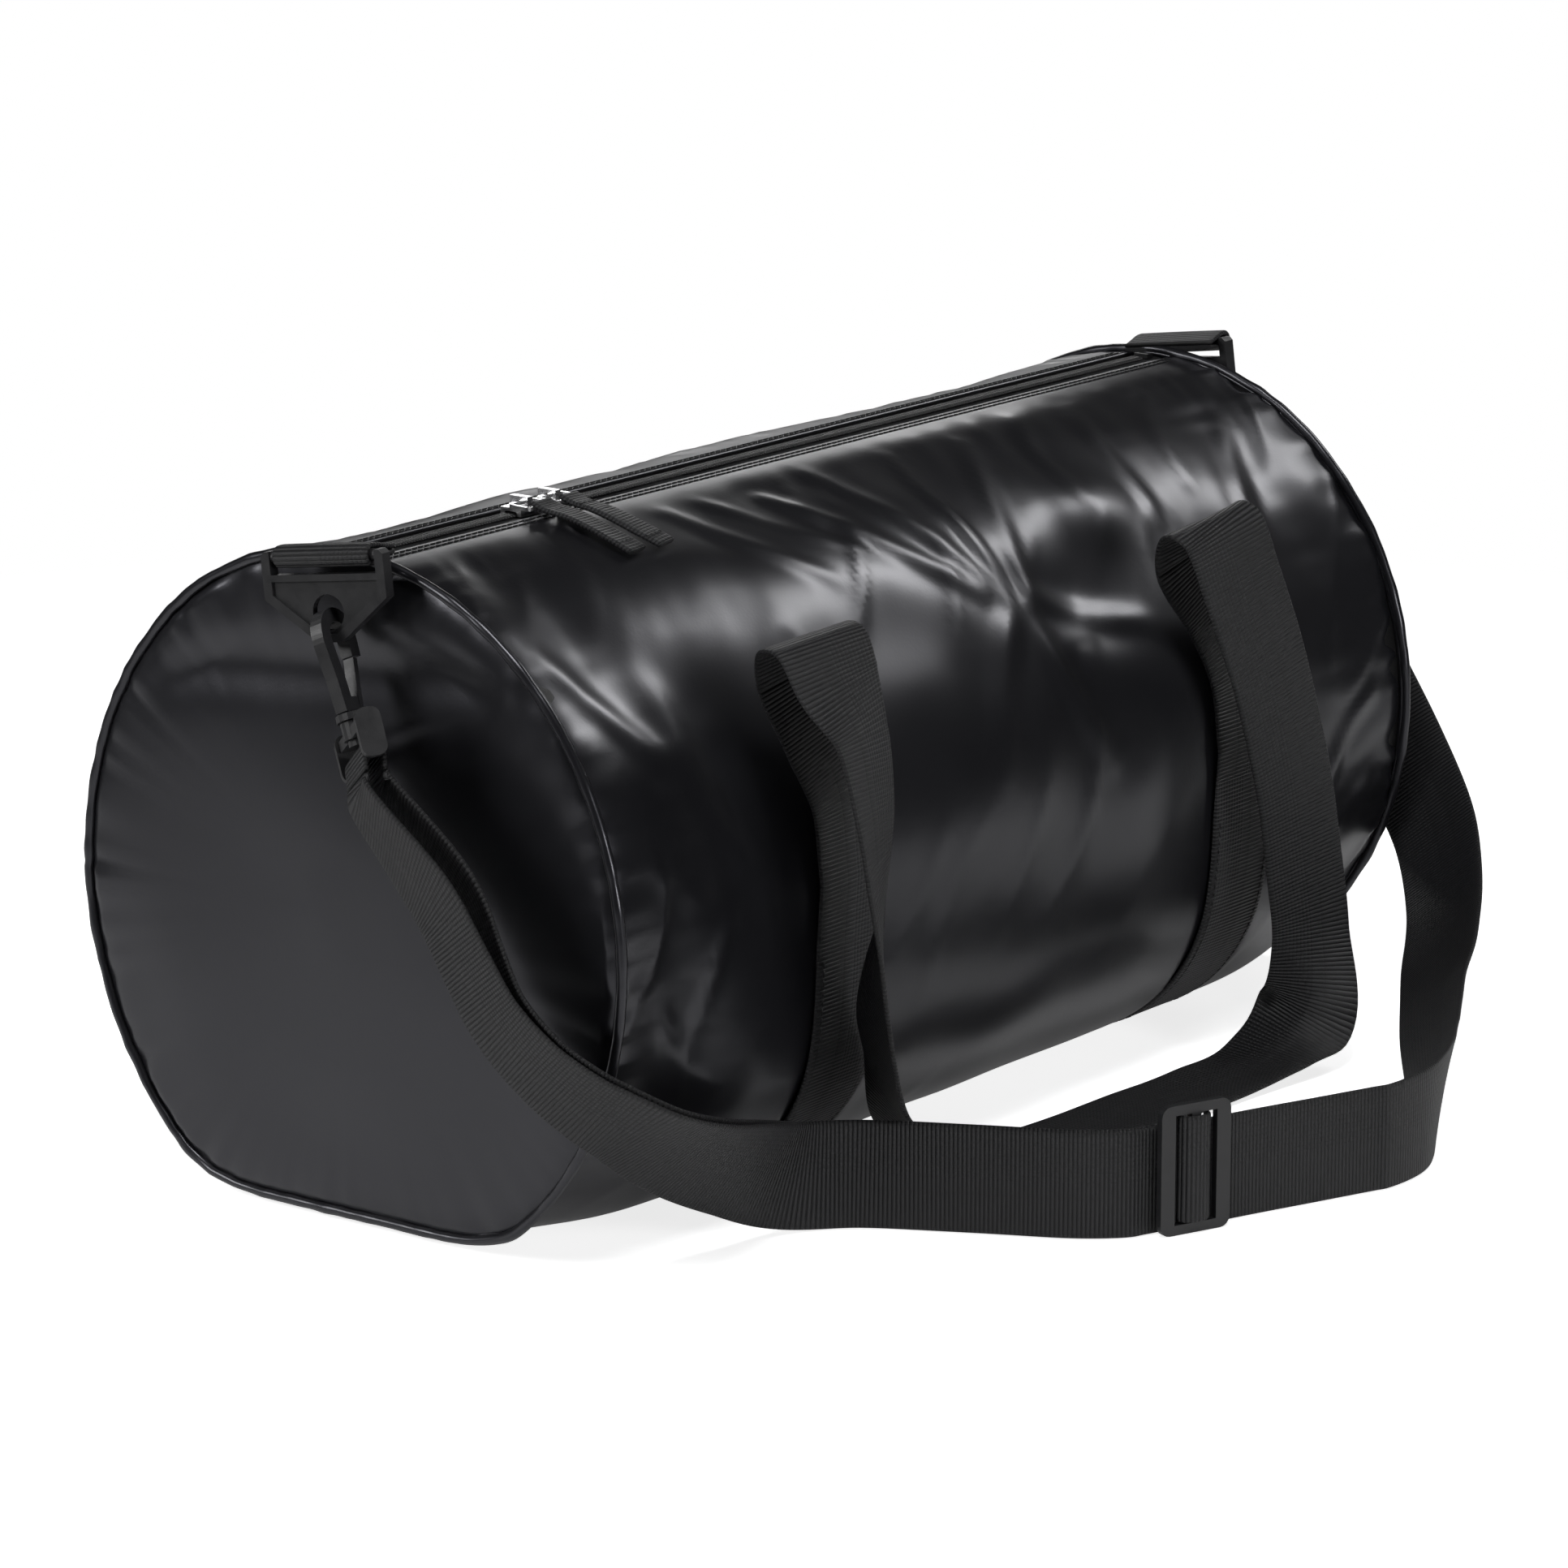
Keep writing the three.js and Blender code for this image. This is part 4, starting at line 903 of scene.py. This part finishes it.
def bevel(obj, width):
    mod = obj.modifiers.new("soft edges", "BEVEL")
    mod.width = width * MM
    mod.segments = 3
    mod.limit_method = "ANGLE"
    mod.angle_limit = math.radians(32)
    obj.data.polygons.foreach_set("use_smooth", [True] * len(obj.data.polygons))
    weighted = obj.modifiers.new("even shading", "WEIGHTED_NORMAL")
    weighted.keep_sharp = True


def show_cad(name, look, edge=0.0):
    """Gives a CAD node its finish, and soft edges of the given width."""
    obj = bpy.data.objects[name]
    give_look(obj, look)
    if edge:
        bevel(obj, edge)


def settings_of(context):
    return context.scene.duffel_settings


# ---- pieces ----


class DUFFEL_OT_materials(bpy.types.Operator):
    """Makes the finishes that every piece uses"""

    bl_idname = "duffel.materials"
    bl_label = "Make finishes"

    def execute(self, context):
        make_materials(settings_of(context))
        return {"FINISHED"}


def body_columns():
    slot = math.degrees(math.asin(SLOT_HALF / (TOP - AXIS)))
    return np.linspace(90 + slot, 450 - slot, 300)


def body_rows():
    ends = np.linspace(0, 40, 26)
    middle = np.linspace(-HALF_LENGTH + 42, HALF_LENGTH - 42, 120)
    return np.concatenate([-HALF_LENGTH + ends, middle, HALF_LENGTH - ends[::-1]])


class DUFFEL_OT_body(bpy.types.Operator):
    """Builds the wrinkled coated body panel with its zip hems"""

    bl_idname = "duffel.body"
    bl_label = "Build body panel"

    def execute(self, context):
        depth = settings_of(context).wrinkle_depth
        columns = body_columns()
        grid, _ = body_grid(body_rows(), columns, depth)
        body = sheet_mesh("body_skin", grid)
        body.data.flip_normals()
        wall = body.modifiers.new("wall", "SOLIDIFY")
        wall.thickness = WALL * MM
        wall.offset = -1
        finish_piece(body, "bag", "coated", "coated", "body_panel")
        return {"FINISHED"}


def end_surface(side, depth):
    """An end panel's grid, rim first, rolling out of the seam and puckered near it."""
    degrees = np.linspace(0, 360, 241)[:-1]
    share = np.concatenate([np.linspace(1, 0.8, 26), np.linspace(0.785, 0.012, 34)])
    r = outline(HALF_LENGTH, degrees) - 0.4
    S, D = np.meshgrid(share, degrees, indexing="ij")
    R = r[None, :] * S
    inward = r[None, :] * (1 - S)
    gather = np.tile(seam_pucker(degrees, side), (len(share), 1))
    roll = 2.2 * (1 - np.exp(-inward / 5.0))
    pucker = gather * (2.4 * np.exp(-inward / 9) + 0.5 * np.exp(-inward / 20))
    pucker *= smooth(inward, 0, 4) * smooth(S, 0.1, 0.5)
    slow = np.zeros_like(S)
    for i in range(S.shape[0]):
        for j in range(S.shape[1]):
            a = math.radians(D[i, j])
            p = Vector((R[i, j] * math.cos(a) / 80, R[i, j] * math.sin(a) / 55, 4.4 * side))
            slow[i, j] = noise.noise(p)
    Y = R * np.cos(np.radians(D))
    Z = AXIS + R * np.sin(np.radians(D))
    fold = 2.6 * np.exp(-(((Z - 206 + 0.1 * Y) / 11) ** 2)) * smooth(inward, 6, 25)
    out = roll + (pucker - fold + 2.2 * slow * smooth(inward, 4, 40)) * depth - 1.4
    out = np.where(out > 0, END_PUFF * np.tanh(out / END_PUFF), out)
    centre = out[-1].mean()
    out = centre + (out - centre) * smooth(S, 0.06, 0.22)
    X = side * (HALF_LENGTH + out)
    return np.stack([X, Y, Z], -1)


class DUFFEL_OT_ends(bpy.types.Operator):
    """Builds the round end panels and the welt round each seam"""

    bl_idname = "duffel.ends"
    bl_label = "Build end panels"

    def execute(self, context):
        depth = settings_of(context).wrinkle_depth
        for side, name in ((-1, "left"), (1, "right")):
            panel = sheet_mesh(f"end_skin_{name}", end_surface(side, depth), wrap=True)
            if side < 0:
                panel.data.flip_normals()
            wall = panel.modifiers.new("wall", "SOLIDIFY")
            wall.thickness = WALL * 0.6 * MM
            wall.offset = -1
            finish_piece(panel, "bag", "coated", "coated", f"end_panel_{name}")
            welt = self.build_welt(side, name)
            finish_piece(welt, "bag", "coated", "coated", f"end_piping_{name}")
            show_cad(f"seam_binding_{name}", "tape")
        return {"FINISHED"}

    def build_welt(self, side, name):
        degrees = np.linspace(0, 360, 361)[:-1]
        gather = seam_pucker(degrees, side)
        radius = 1.9 + 0.4 * wander(degrees * SEAM_ARC, 8.8 + side, 9)
        r = outline(HALF_LENGTH, degrees) + 0.7 + 0.4 * gather
        centre_x = side * (HALF_LENGTH + 0.2 + 0.35 * gather)
        sides = 10
        rings = np.zeros((len(degrees), sides, 3))
        for j in range(sides):
            a = 2 * math.pi * j / sides
            reach = r + radius * math.cos(a)
            rings[:, j, 0] = centre_x + radius * math.sin(a)
            rings[:, j, 1] = reach * np.cos(np.radians(degrees))
            rings[:, j, 2] = AXIS + reach * np.sin(np.radians(degrees))
        around = np.linspace(0, 10, sides + 1)
        along = np.concatenate([degrees, [360]]) * SEAM_ARC
        return tube_mesh(f"welt_{name}", rings, around, along, loop=True)


def top_point(x, y, lift=0.0):
    """A point above the bag's top line, lift millimetres over the plain outline."""
    rise = TOP - AXIS + lift
    z = AXIS + rise * math.sqrt(max(1 - (y / (BELLY_HALF_WIDTH + lift)) ** 2, 0))
    return (x, y, z)


class DUFFEL_OT_zip(bpy.types.Operator):
    """Builds the zip: tapes, coil teeth, hems with their stitching, sliders and pulls"""

    bl_idname = "duffel.zip"
    bl_label = "Build zip"

    def execute(self, context):
        for front, name in ((-1, "front"), (1, "back")):
            self.build_tape(front, name)
            self.build_coil(front, name)
            self.build_hem(front, name)
        for name in ("left", "right"):
            show_cad(f"zip_end_stop_{name}", "coil", 0.3)
            show_cad(f"zip_slider_{name}", "steel", 0.35)
            show_cad(f"slider_plate_{name}", "steel", 0.3)
            show_cad(f"pull_ring_{name}", "steel", 0.4)
            self.build_pull(name)
        return {"FINISHED"}

    def build_tape(self, front, name):
        xs = np.linspace(-HALF_LENGTH + 1, HALF_LENGTH - 1, 160)
        wave = 0.25 * wander(xs, 2.2 + front, 26)
        route = []
        for x, dz in zip(xs, wave):
            mid = top_point(x, front * 8.8, -WALL - 0.75)
            route.append((mid[0], mid[1], mid[2] + dz, 0, 1, -front * 0.07))
        middle = np.array(route)[:, :3]
        side = unit(np.array(route)[:, 3:])
        face = np.cross(np.tile([1.0, 0, 0], (len(xs), 1)), side)
        tape = ribbon(f"tape_{name}", (middle, side, face), 16.4, 0.8, 4 + front, 0.1)
        finish_piece(tape, "bag", "tape", "tape", f"zip_tape_{name}")

    def build_coil(self, front, name):
        base, faces = capsule(3.0, 0.62, 6, 2)
        pitch = 1.5
        shift = 0 if front < 0 else pitch / 2
        places = []
        for x in np.arange(-243 + shift, 243, pitch):
            places.append(((x, front * 1.15, 246.0), (0.12, front, 0.0), (0, 0, 1)))
        teeth = scatter(f"coil_{name}", (base, faces), places)
        finish_piece(teeth, "bag", "coil", "coil", f"zip_coil_{name}")

    def build_hem(self, front, name):
        xs = np.linspace(-HALF_LENGTH + 6, HALF_LENGTH - 6, 150)
        places = []
        for y in (front * 11.6, front * 14.2):
            path = np.array([top_point(x, y, -0.1) for x in xs])
            up = np.tile([0, front * 0.09, 1.0], (len(xs), 1))
            places += stitch_row(path, up)
        rows = scatter(f"zip_stitches_{name}", capsule(2.7, 0.24), places)
        finish_piece(rows, "bag", "thread", "tape")

    def build_pull(self, name):
        low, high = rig.box(f"pull_tab_{name}")
        x = (low.x + high.x) / 2 / MM
        front, back = low.y / MM, high.y / MM
        seed = 1.3 if name == "left" else 4.1
        swing = 2.6 if name == "left" else 3.4
        count = 40
        middle, side = [], []
        for k in range(count):
            t = k / (count - 1)
            y = back - 2.4 + (front - back + 2.4) * t
            lift = 1.9 + 1.5 * math.sin(math.pi * min(1, t * 1.3)) * (1 - t)
            point = top_point(x + swing * t * t, y, lift)
            z = point[2] + 2.4 * max(0, 1 - t * 5) ** 2
            middle.append((point[0], y, z))
            side.append((1, 0.08 * t, 0.03 * math.sin(5 * t + seed)))
        middle = np.array(middle)
        along = unit(np.gradient(middle, axis=0))
        side = square_to(along, np.array(side))
        face = np.cross(along, side)
        face *= -1 if face[:, 2].mean() < 0 else 1
        tab = ribbon(f"pull_ribbon_{name}", (middle, side, face), 11, 2.0, seed, 0.2)
        finish_piece(tab, f"pull_{name}", "webbing", "tape", f"pull_tab_{name}")
        ends = []
        for at in (8, 34):
            for u in np.linspace(-4, 4, 4):
                p = middle[at] + side[at] * u + face[at] * 1.0
                ends.append((p, side[at], face[at]))
        rows = scatter(f"pull_stitches_{name}", capsule(2.2, 0.3), ends)
        finish_piece(rows, f"pull_{name}", "thread", "tape")


def turned(stations):
    """Half a turn about the vertical takes the front handle to the back, where it folds over lower."""
    made = []
    for x, y, z, a, b, c in stations:
        stand = -y + BACK_FOLD_STAND * float(smooth(z, BAND_TOP, BAND_TOP + 30))
        settled = BAND_TOP + max(z - BAND_TOP, 0) * BACK_FOLD_SHARE if z > BAND_TOP else z
        made.append((-x, stand, settled, -a, -b, c))
    return made


def flip(route):
    middle, side, face = route
    return middle[::-1], side[::-1], -face[::-1]


class DUFFEL_OT_handles(bpy.types.Operator):
    """Builds the carry handles and the bands that carry them round the underside"""

    bl_idname = "duffel.handles"
    bl_label = "Build handles"

    def execute(self, context):
        steps = 10
        whole = {"front": lay_route(HANDLE, steps), "back": lay_route(turned(HANDLE), steps)}
        for name, y in (("front", -1), ("back", 1)):
            route = self.between(whole[name], RISE_LEFT_END * steps, RISE_RIGHT_START * steps)
            loop = ribbon(f"handle_{name}", route, seed=6.0 + y)
            stand, crest_z, hang_z = (0, 0.205, 0.2) if y < 0 else (BACK_FOLD_STAND * MM, 0.182, 0.178)
            crest, hang = (0, y * (0.122 + stand), crest_z), (0, y * (0.141 + stand), hang_z)
            parts = ("fold_a", "strand_a", "slack", "strand_b", "fold_b")
            nodes = [f"handle_{name}_{part}" for part in parts]
            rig.blend(loop, "bag", f"handle_{name}", start=crest, end=hang)
            finish_piece(loop, None, "webbing", "webbing", *nodes)
        for side, name in ((-1, "left"), (1, "right")):
            self.build_band(side, name, whole, steps)
        return {"FINISHED"}

    def between(self, route, low, high):
        return tuple(part[low : high + 1] for part in route)

    def build_band(self, side, name, whole, steps):
        first = (0, RISE_LEFT_END * steps)
        last = (RISE_RIGHT_START * steps, (len(HANDLE) - 1) * steps)
        if side < 0:
            front = flip(self.between(whole["front"], *first))
            back = flip(self.between(whole["back"], *last))
        else:
            front = self.between(whole["front"], *last)
            back = self.between(whole["back"], *first)
        degrees = np.arange(187.5, 353, 2.5)
        x = np.array([side * BAND_X])
        grid, normal = body_grid(x, degrees, 0, offset=0.25 + GAP + WEB_THICK / 2)
        wrap = grid[0]
        across = np.tile([-side * 1.0, 0, 0], (len(degrees), 1))
        route = (
            np.vstack([front[0], wrap, back[0]]),
            np.vstack([front[1], across, back[1]]),
            np.vstack([front[2], normal[0], back[2]]),
        )
        band = ribbon(f"band_{name}", route, seed=11.0 + side, wave=0.1)
        finish_piece(band, "bag", "webbing", "webbing", f"handle_band_{name}")
        places = []
        for off in (-16.8, 16.8):
            path = wrap + across * off + normal[0] * (WEB_THICK / 2 - 0.05)
            places += stitch_row(path, normal[0], 3.6)
        rows = scatter(f"band_stitches_{name}", capsule(2.6, 0.3), places)
        finish_piece(rows, "bag", "thread", "webbing")


def node_frame(name):
    """Middle of a CAD node and its two longest directions, in millimetres."""
    verts = np.array([v.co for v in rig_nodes()[name].data.vertices]) / MM
    centre = (verts.max(0) + verts.min(0)) / 2
    spread = verts - verts.mean(0)
    values, vectors = np.linalg.eigh(spread.T @ spread)
    return centre, vectors[:, ::-1].T


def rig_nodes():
    return {o["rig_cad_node"]: o for o in bpy.data.objects if "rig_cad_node" in o}


class DUFFEL_OT_strap(bpy.types.Operator):
    """Builds the shoulder strap, its doubled length and the loops at its hardware"""

    bl_idname = "duffel.strap"
    bl_label = "Build shoulder strap"

    def execute(self, context):
        steps = 10
        start = self.yoke_stations("left", 1)
        faced = reversed(self.yoke_stations("right", 1))
        finish = [tuple(np.array(station) * (1, 1, 1, -1, -1, -1)) for station in faced]
        whole = lay_route(start + STRAP + finish, steps)
        strap = ribbon("strap", whole, seed=21.0)
        finish_piece(strap, "bag", "webbing", "webbing", "strap_drop", "strap_front", "strap_rise")
        back = ribbon("strap_second_layer", self.second_layer(whole), seed=25.0, wave=0.2)
        finish_piece(back, "bag", "webbing", "webbing", "strap_return")
        for name in ("left", "right"):
            self.build_loop(name)
        self.build_wrap()
        return {"FINISHED"}

    def yoke_axes(self, name):
        """The yoke's crossbar centre and its directions outward, along its width and up its shank."""
        verts = np.array([v.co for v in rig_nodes()[f"strap_loop_{name}"].data.vertices]) / MM
        centre, axes = node_frame(f"strap_loop_{name}")
        width = axes[0]
        shank = unit(np.cross(np.cross(width, (0, 0, 1.0)), width))
        shank = shank if shank[2] > 0 else -shank
        outward = np.cross(width, shank)
        outward = outward if outward[0] * (-1 if name == "left" else 1) > 0 else -outward
        return verts, centre, width, shank, outward

    def yoke_stations(self, name, leg):
        verts, centre, width, shank, outward = self.yoke_axes(name)
        width = width if width[1] < 0 else -width
        if name == "right":
            width = -width
        lowest = (verts @ shank).min()
        middle = centre + outward * LOOP_REACH * leg
        top = middle + shank * (lowest - middle @ shank - 0.9)
        lower = top - shank * 5
        return [(*top, *width), (*lower, *width)]

    def second_layer(self, whole):
        middle, side, face = whole
        *_, outward = self.yoke_axes("left")
        stop = int(np.argmax((middle[:, 0] > RETURN_STOP_X) & (middle[:, 1] < -200)))
        k = np.arange(stop) / 2.5
        early = 1 - smooth(k, 4, 22)
        blend = (1 - smooth(k, 0, 6))[:, None]
        way = unit(-face[:stop] * (1 - blend) - outward[None, :] * blend)
        bow = 3 * np.sin(np.pi * smooth(k, 0, 16))
        off = (WEB_THICK + 0.6) + (6.8 - WEB_THICK - 0.6) * early + bow
        return middle[:stop] + way * off[:, None], side[:stop], face[:stop]

    def build_loop(self, name):
        verts, centre, width, shank, outward = self.yoke_axes(name)
        reach = LOOP_REACH
        high = (verts @ shank).max() - (reach + WEB_THICK / 2)
        low = (verts @ shank).min()
        pivot = centre + shank * (high - centre @ shank)
        points = [pivot + outward * reach + shank * (low - high)]
        for k in range(13):
            a = math.pi * k / 12
            points.append(pivot + outward * reach * math.cos(a) + shank * reach * math.sin(a))
        points.append(pivot - outward * reach + shank * (low - high))
        middle = np.array(points)
        along = unit(np.gradient(middle, axis=0))
        side = np.tile(width, (len(points), 1))
        route = (middle, side, np.cross(along, side))
        loop = ribbon(f"loop_{name}", route, seed=31, wave=0.0)
        finish_piece(loop, f"yoke_{name}", "webbing", "webbing", f"strap_loop_{name}")

    def build_wrap(self):
        """Webbing turned round the adjuster's centre bar, outside it and back."""
        low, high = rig.box("strap_adjuster")
        centre = np.array((low + high) / 2) / MM
        along = unit(np.array([0.93, -0.368, 0.0]))
        out = np.array([-0.368, -0.93, 0.0])
        rise = [(-6.4, -2.4), (-5.6, 0.6), (-3.4, 2.6)]
        fall = [(-u, v) for u, v in reversed(rise)]
        points = []
        for u, v in rise + [(0, 3.1)] + fall:
            points.append((*(centre + along * u + out * v), 0, 0, 1))
        wrap = ribbon("adjuster_webbing", lay_route(points, 6), seed=35, wave=0.0)
        finish_piece(wrap, "adjuster", "webbing", "webbing", "adjuster_wrap")


class DUFFEL_OT_hardware(bpy.types.Operator):
    """Finishes the moulded rings, hooks, yokes and adjuster, and builds the ring tabs"""

    bl_idname = "duffel.hardware"
    bl_label = "Build hardware"

    def execute(self, context):
        for name in ("left", "right"):
            show_cad(f"strap_ring_{name}", "moulded", 0.45)
            show_cad(f"snap_hook_{name}", "moulded", 0.7)
            show_cad(f"hook_gate_{name}", "moulded", 0.5)
            show_cad(f"swivel_base_{name}", "moulded", 0.6)
            self.build_tab(name)
        show_cad("strap_adjuster", "moulded", 0.9)
        return {"FINISHED"}

    def build_tab(self, name):
        """Webbing turned round the ring's bar, its two ends sewn into the seam."""
        side = -1 if name == "left" else 1
        width = unit(np.array([0.148 * -side, -0.981 * -side, 0.122 * -side]))
        bar = np.array([side * 268.5, -4.8, 249.6])
        shank = unit(np.array([0, width[2] * -width[1], width[1] ** 2]))
        outward = np.cross(width, shank)
        outward = outward if outward[0] * side > 0 else -outward
        points = []
        for along, up in ((-14.5, 0.8), (-9, 1.9), (-4, 3.0)):
            points.append(bar + outward * along + shank * up)
        for k in range(9):
            a = math.pi / 2 - math.pi * k / 8
            points.append(bar + outward * TAB_REACH * math.cos(a) + shank * TAB_REACH * math.sin(a))
        for along, up in ((-4, -3.0), (-9, -1.7), (-14.5, -1.1)):
            points.append(bar + outward * along + shank * up)
        middle = catmull(np.array(points), 4)
        along = unit(np.gradient(middle, axis=0))
        across = square_to(along, np.tile(width, (len(middle), 1)))
        face = np.cross(along, across)
        tab = ribbon(f"tab_{name}", (middle, across, face), seed=41, wave=0.1)
        finish_piece(tab, "bag", "webbing", "webbing", f"ring_tab_{name}")


class DUFFEL_OT_stage(bpy.types.Operator):
    """Sets up the floor, soft lights and camera"""

    bl_idname = "duffel.stage"
    bl_label = "Set up stage"

    def execute(self, context):
        self.build_floor()
        self.build_world(context)
        for light in (
            ("key_right", (1.65, -0.5, 1.45), (0, -0.05, 0.15), 0.5, 0.6, 8),
            ("left_panel", (-1.8, 1.1, 1.15), (-0.25, 0, 0.2), 0.7, 0.9, 24),
            ("front", (-0.3, -2.3, 0.6), (0, 0, 0.1), 0.7, 0.35, 16),
            ("back_right", (1.5, 1.25, 0.8), (0.1, 0, 0.2), 0.7, 0.3, 3),
            ("overhead", (-0.6, -0.4, 1.8), (0, 0, 0.1), 0.7, 0.35, 16),
        ):
            self.add_light(*light)
        self.add_camera(context)
        return {"FINISHED"}

    def build_floor(self):
        size = 6000.0
        corners = [(-size, -size, 0), (size, -size, 0), (size, size, 0), (-size, size, 0)]
        floor = link_mesh("floor", np.array(corners) - (0, 0, 0.3), [(0, 1, 2, 3)], shade=False)
        mat, shader, g = material("floor", (0.9, 0.9, 0.9), 0.9)
        shader.inputs["Emission Color"].default_value = (1, 1, 1, 1)
        seen = g.node("ShaderNodeLightPath").outputs["Is Camera Ray"]
        g.link(map_range(g, seen, 0, 1, 0.12, 0.8), shader.inputs["Emission Strength"])
        coords = g.node("ShaderNodeTexCoord").outputs["Object"]
        length = g.node("ShaderNodeVectorMath", operation="LENGTH")
        g.link(coords, length.inputs[0])
        fade = map_range(g, length.outputs["Value"], 0.45, 1.0, 0.0, 1.0)
        glow = g.node("ShaderNodeEmission")
        spill = map_range(g, length.outputs["Value"], 0.6, 1.3, 0.6, 0.06)
        bright = g.node("ShaderNodeMix", data_type="FLOAT")
        g.link(seen, bright.inputs["Factor"])
        g.link(spill, bright.inputs["A"])
        bright.inputs["B"].default_value = 1.0
        g.link(bright.outputs["Result"], glow.inputs["Strength"])
        mix = g.node("ShaderNodeMixShader")
        g.link(fade, mix.inputs["Fac"])
        g.link(shader.outputs["BSDF"], mix.inputs[1])
        g.link(glow.outputs["Emission"], mix.inputs[2])
        output = mat.node_tree.nodes["Material Output"]
        g.link(mix.outputs["Shader"], output.inputs["Surface"])
        floor.data.materials.append(mat)
        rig.stage(floor)

    def build_world(self, context):
        world = bpy.data.worlds.new("studio")
        context.scene.world = world
        world.use_nodes = True
        g = Graph(world.node_tree)
        nodes = world.node_tree.nodes
        ambient = nodes["Background"]
        ambient.inputs["Color"].default_value = (1, 1, 1, 1)
        ambient.inputs["Strength"].default_value = 0.03
        seen = g.node("ShaderNodeBackground")
        seen.inputs["Color"].default_value = (1, 1, 1, 1)
        mix = g.node("ShaderNodeMixShader")
        g.link(g.node("ShaderNodeLightPath").outputs["Is Camera Ray"], mix.inputs["Fac"])
        g.link(ambient.outputs["Background"], mix.inputs[1])
        g.link(seen.outputs["Background"], mix.inputs[2])
        g.link(mix.outputs["Shader"], nodes["World Output"].inputs["Surface"])

    def add_light(self, name, place, target, width, height, energy):
        data = bpy.data.lights.new(name, "AREA")
        data.shape = "RECTANGLE"
        data.size, data.size_y, data.energy = width, height, energy
        lamp = bpy.data.objects.new(name, data)
        lamp.location = place
        lamp.rotation_euler = (Vector(target) - Vector(place)).to_track_quat("-Z", "Y").to_euler()
        bpy.context.scene.collection.objects.link(lamp)

    def add_camera(self, context):
        data = bpy.data.cameras.new("camera")
        data.lens = LENS
        data.sensor_width = 36
        camera = bpy.data.objects.new("camera", data)
        a, e = math.radians(AZIMUTH), math.radians(ELEVATION)
        back = Vector((math.sin(a) * math.cos(e), -math.cos(a) * math.cos(e), math.sin(e)))
        camera.location = Vector(TARGET) + back * DISTANCE
        camera.rotation_euler = back.to_track_quat("Z", "Y").to_euler()
        context.scene.collection.objects.link(camera)
        context.scene.camera = camera
        context.scene.view_settings.view_transform = "Standard"


class DUFFEL_PT_panel(bpy.types.Panel):
    """The builder's buttons and settings"""

    bl_idname = "DUFFEL_PT_panel"
    bl_label = "Duffel bag"
    bl_space_type = "VIEW_3D"
    bl_region_type = "UI"
    bl_category = "Duffel"

    def draw(self, context):
        layout = self.layout
        settings = settings_of(context)
        for key in SETTINGS:
            layout.prop(settings, key)
        for operator in OPERATORS:
            layout.operator(operator.bl_idname)


SETTINGS = (
    "coat_colour",
    "coat_roughness",
    "webbing_colour",
    "tape_colour",
    "plastic_colour",
    "wrinkle_depth",
    "rib_pitch",
)
OPERATORS = (
    DUFFEL_OT_materials,
    DUFFEL_OT_body,
    DUFFEL_OT_ends,
    DUFFEL_OT_zip,
    DUFFEL_OT_handles,
    DUFFEL_OT_strap,
    DUFFEL_OT_hardware,
    DUFFEL_OT_stage,
)
CLASSES = (DuffelSettings, *OPERATORS, DUFFEL_PT_panel)


def register():
    for cls in CLASSES:
        bpy.utils.register_class(cls)
    bpy.types.Scene.duffel_settings = PointerProperty(type=DuffelSettings)


def unregister():
    del bpy.types.Scene.duffel_settings
    for cls in reversed(CLASSES):
        bpy.utils.unregister_class(cls)


def main():
    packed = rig.bounds()
    register()
    bpy.ops.duffel.materials()
    bpy.ops.duffel.body()
    bpy.ops.duffel.ends()
    bpy.ops.duffel.zip()
    bpy.ops.duffel.handles()
    bpy.ops.duffel.strap()
    bpy.ops.duffel.hardware()
    bpy.ops.duffel.stage()
    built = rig.bounds()
    with open(SIZES_FILE, "w") as file:
        json.dump({"frame": [list(c) for c in packed], "built": [list(c) for c in built]}, file)


if __name__ == "__main__":
    main()
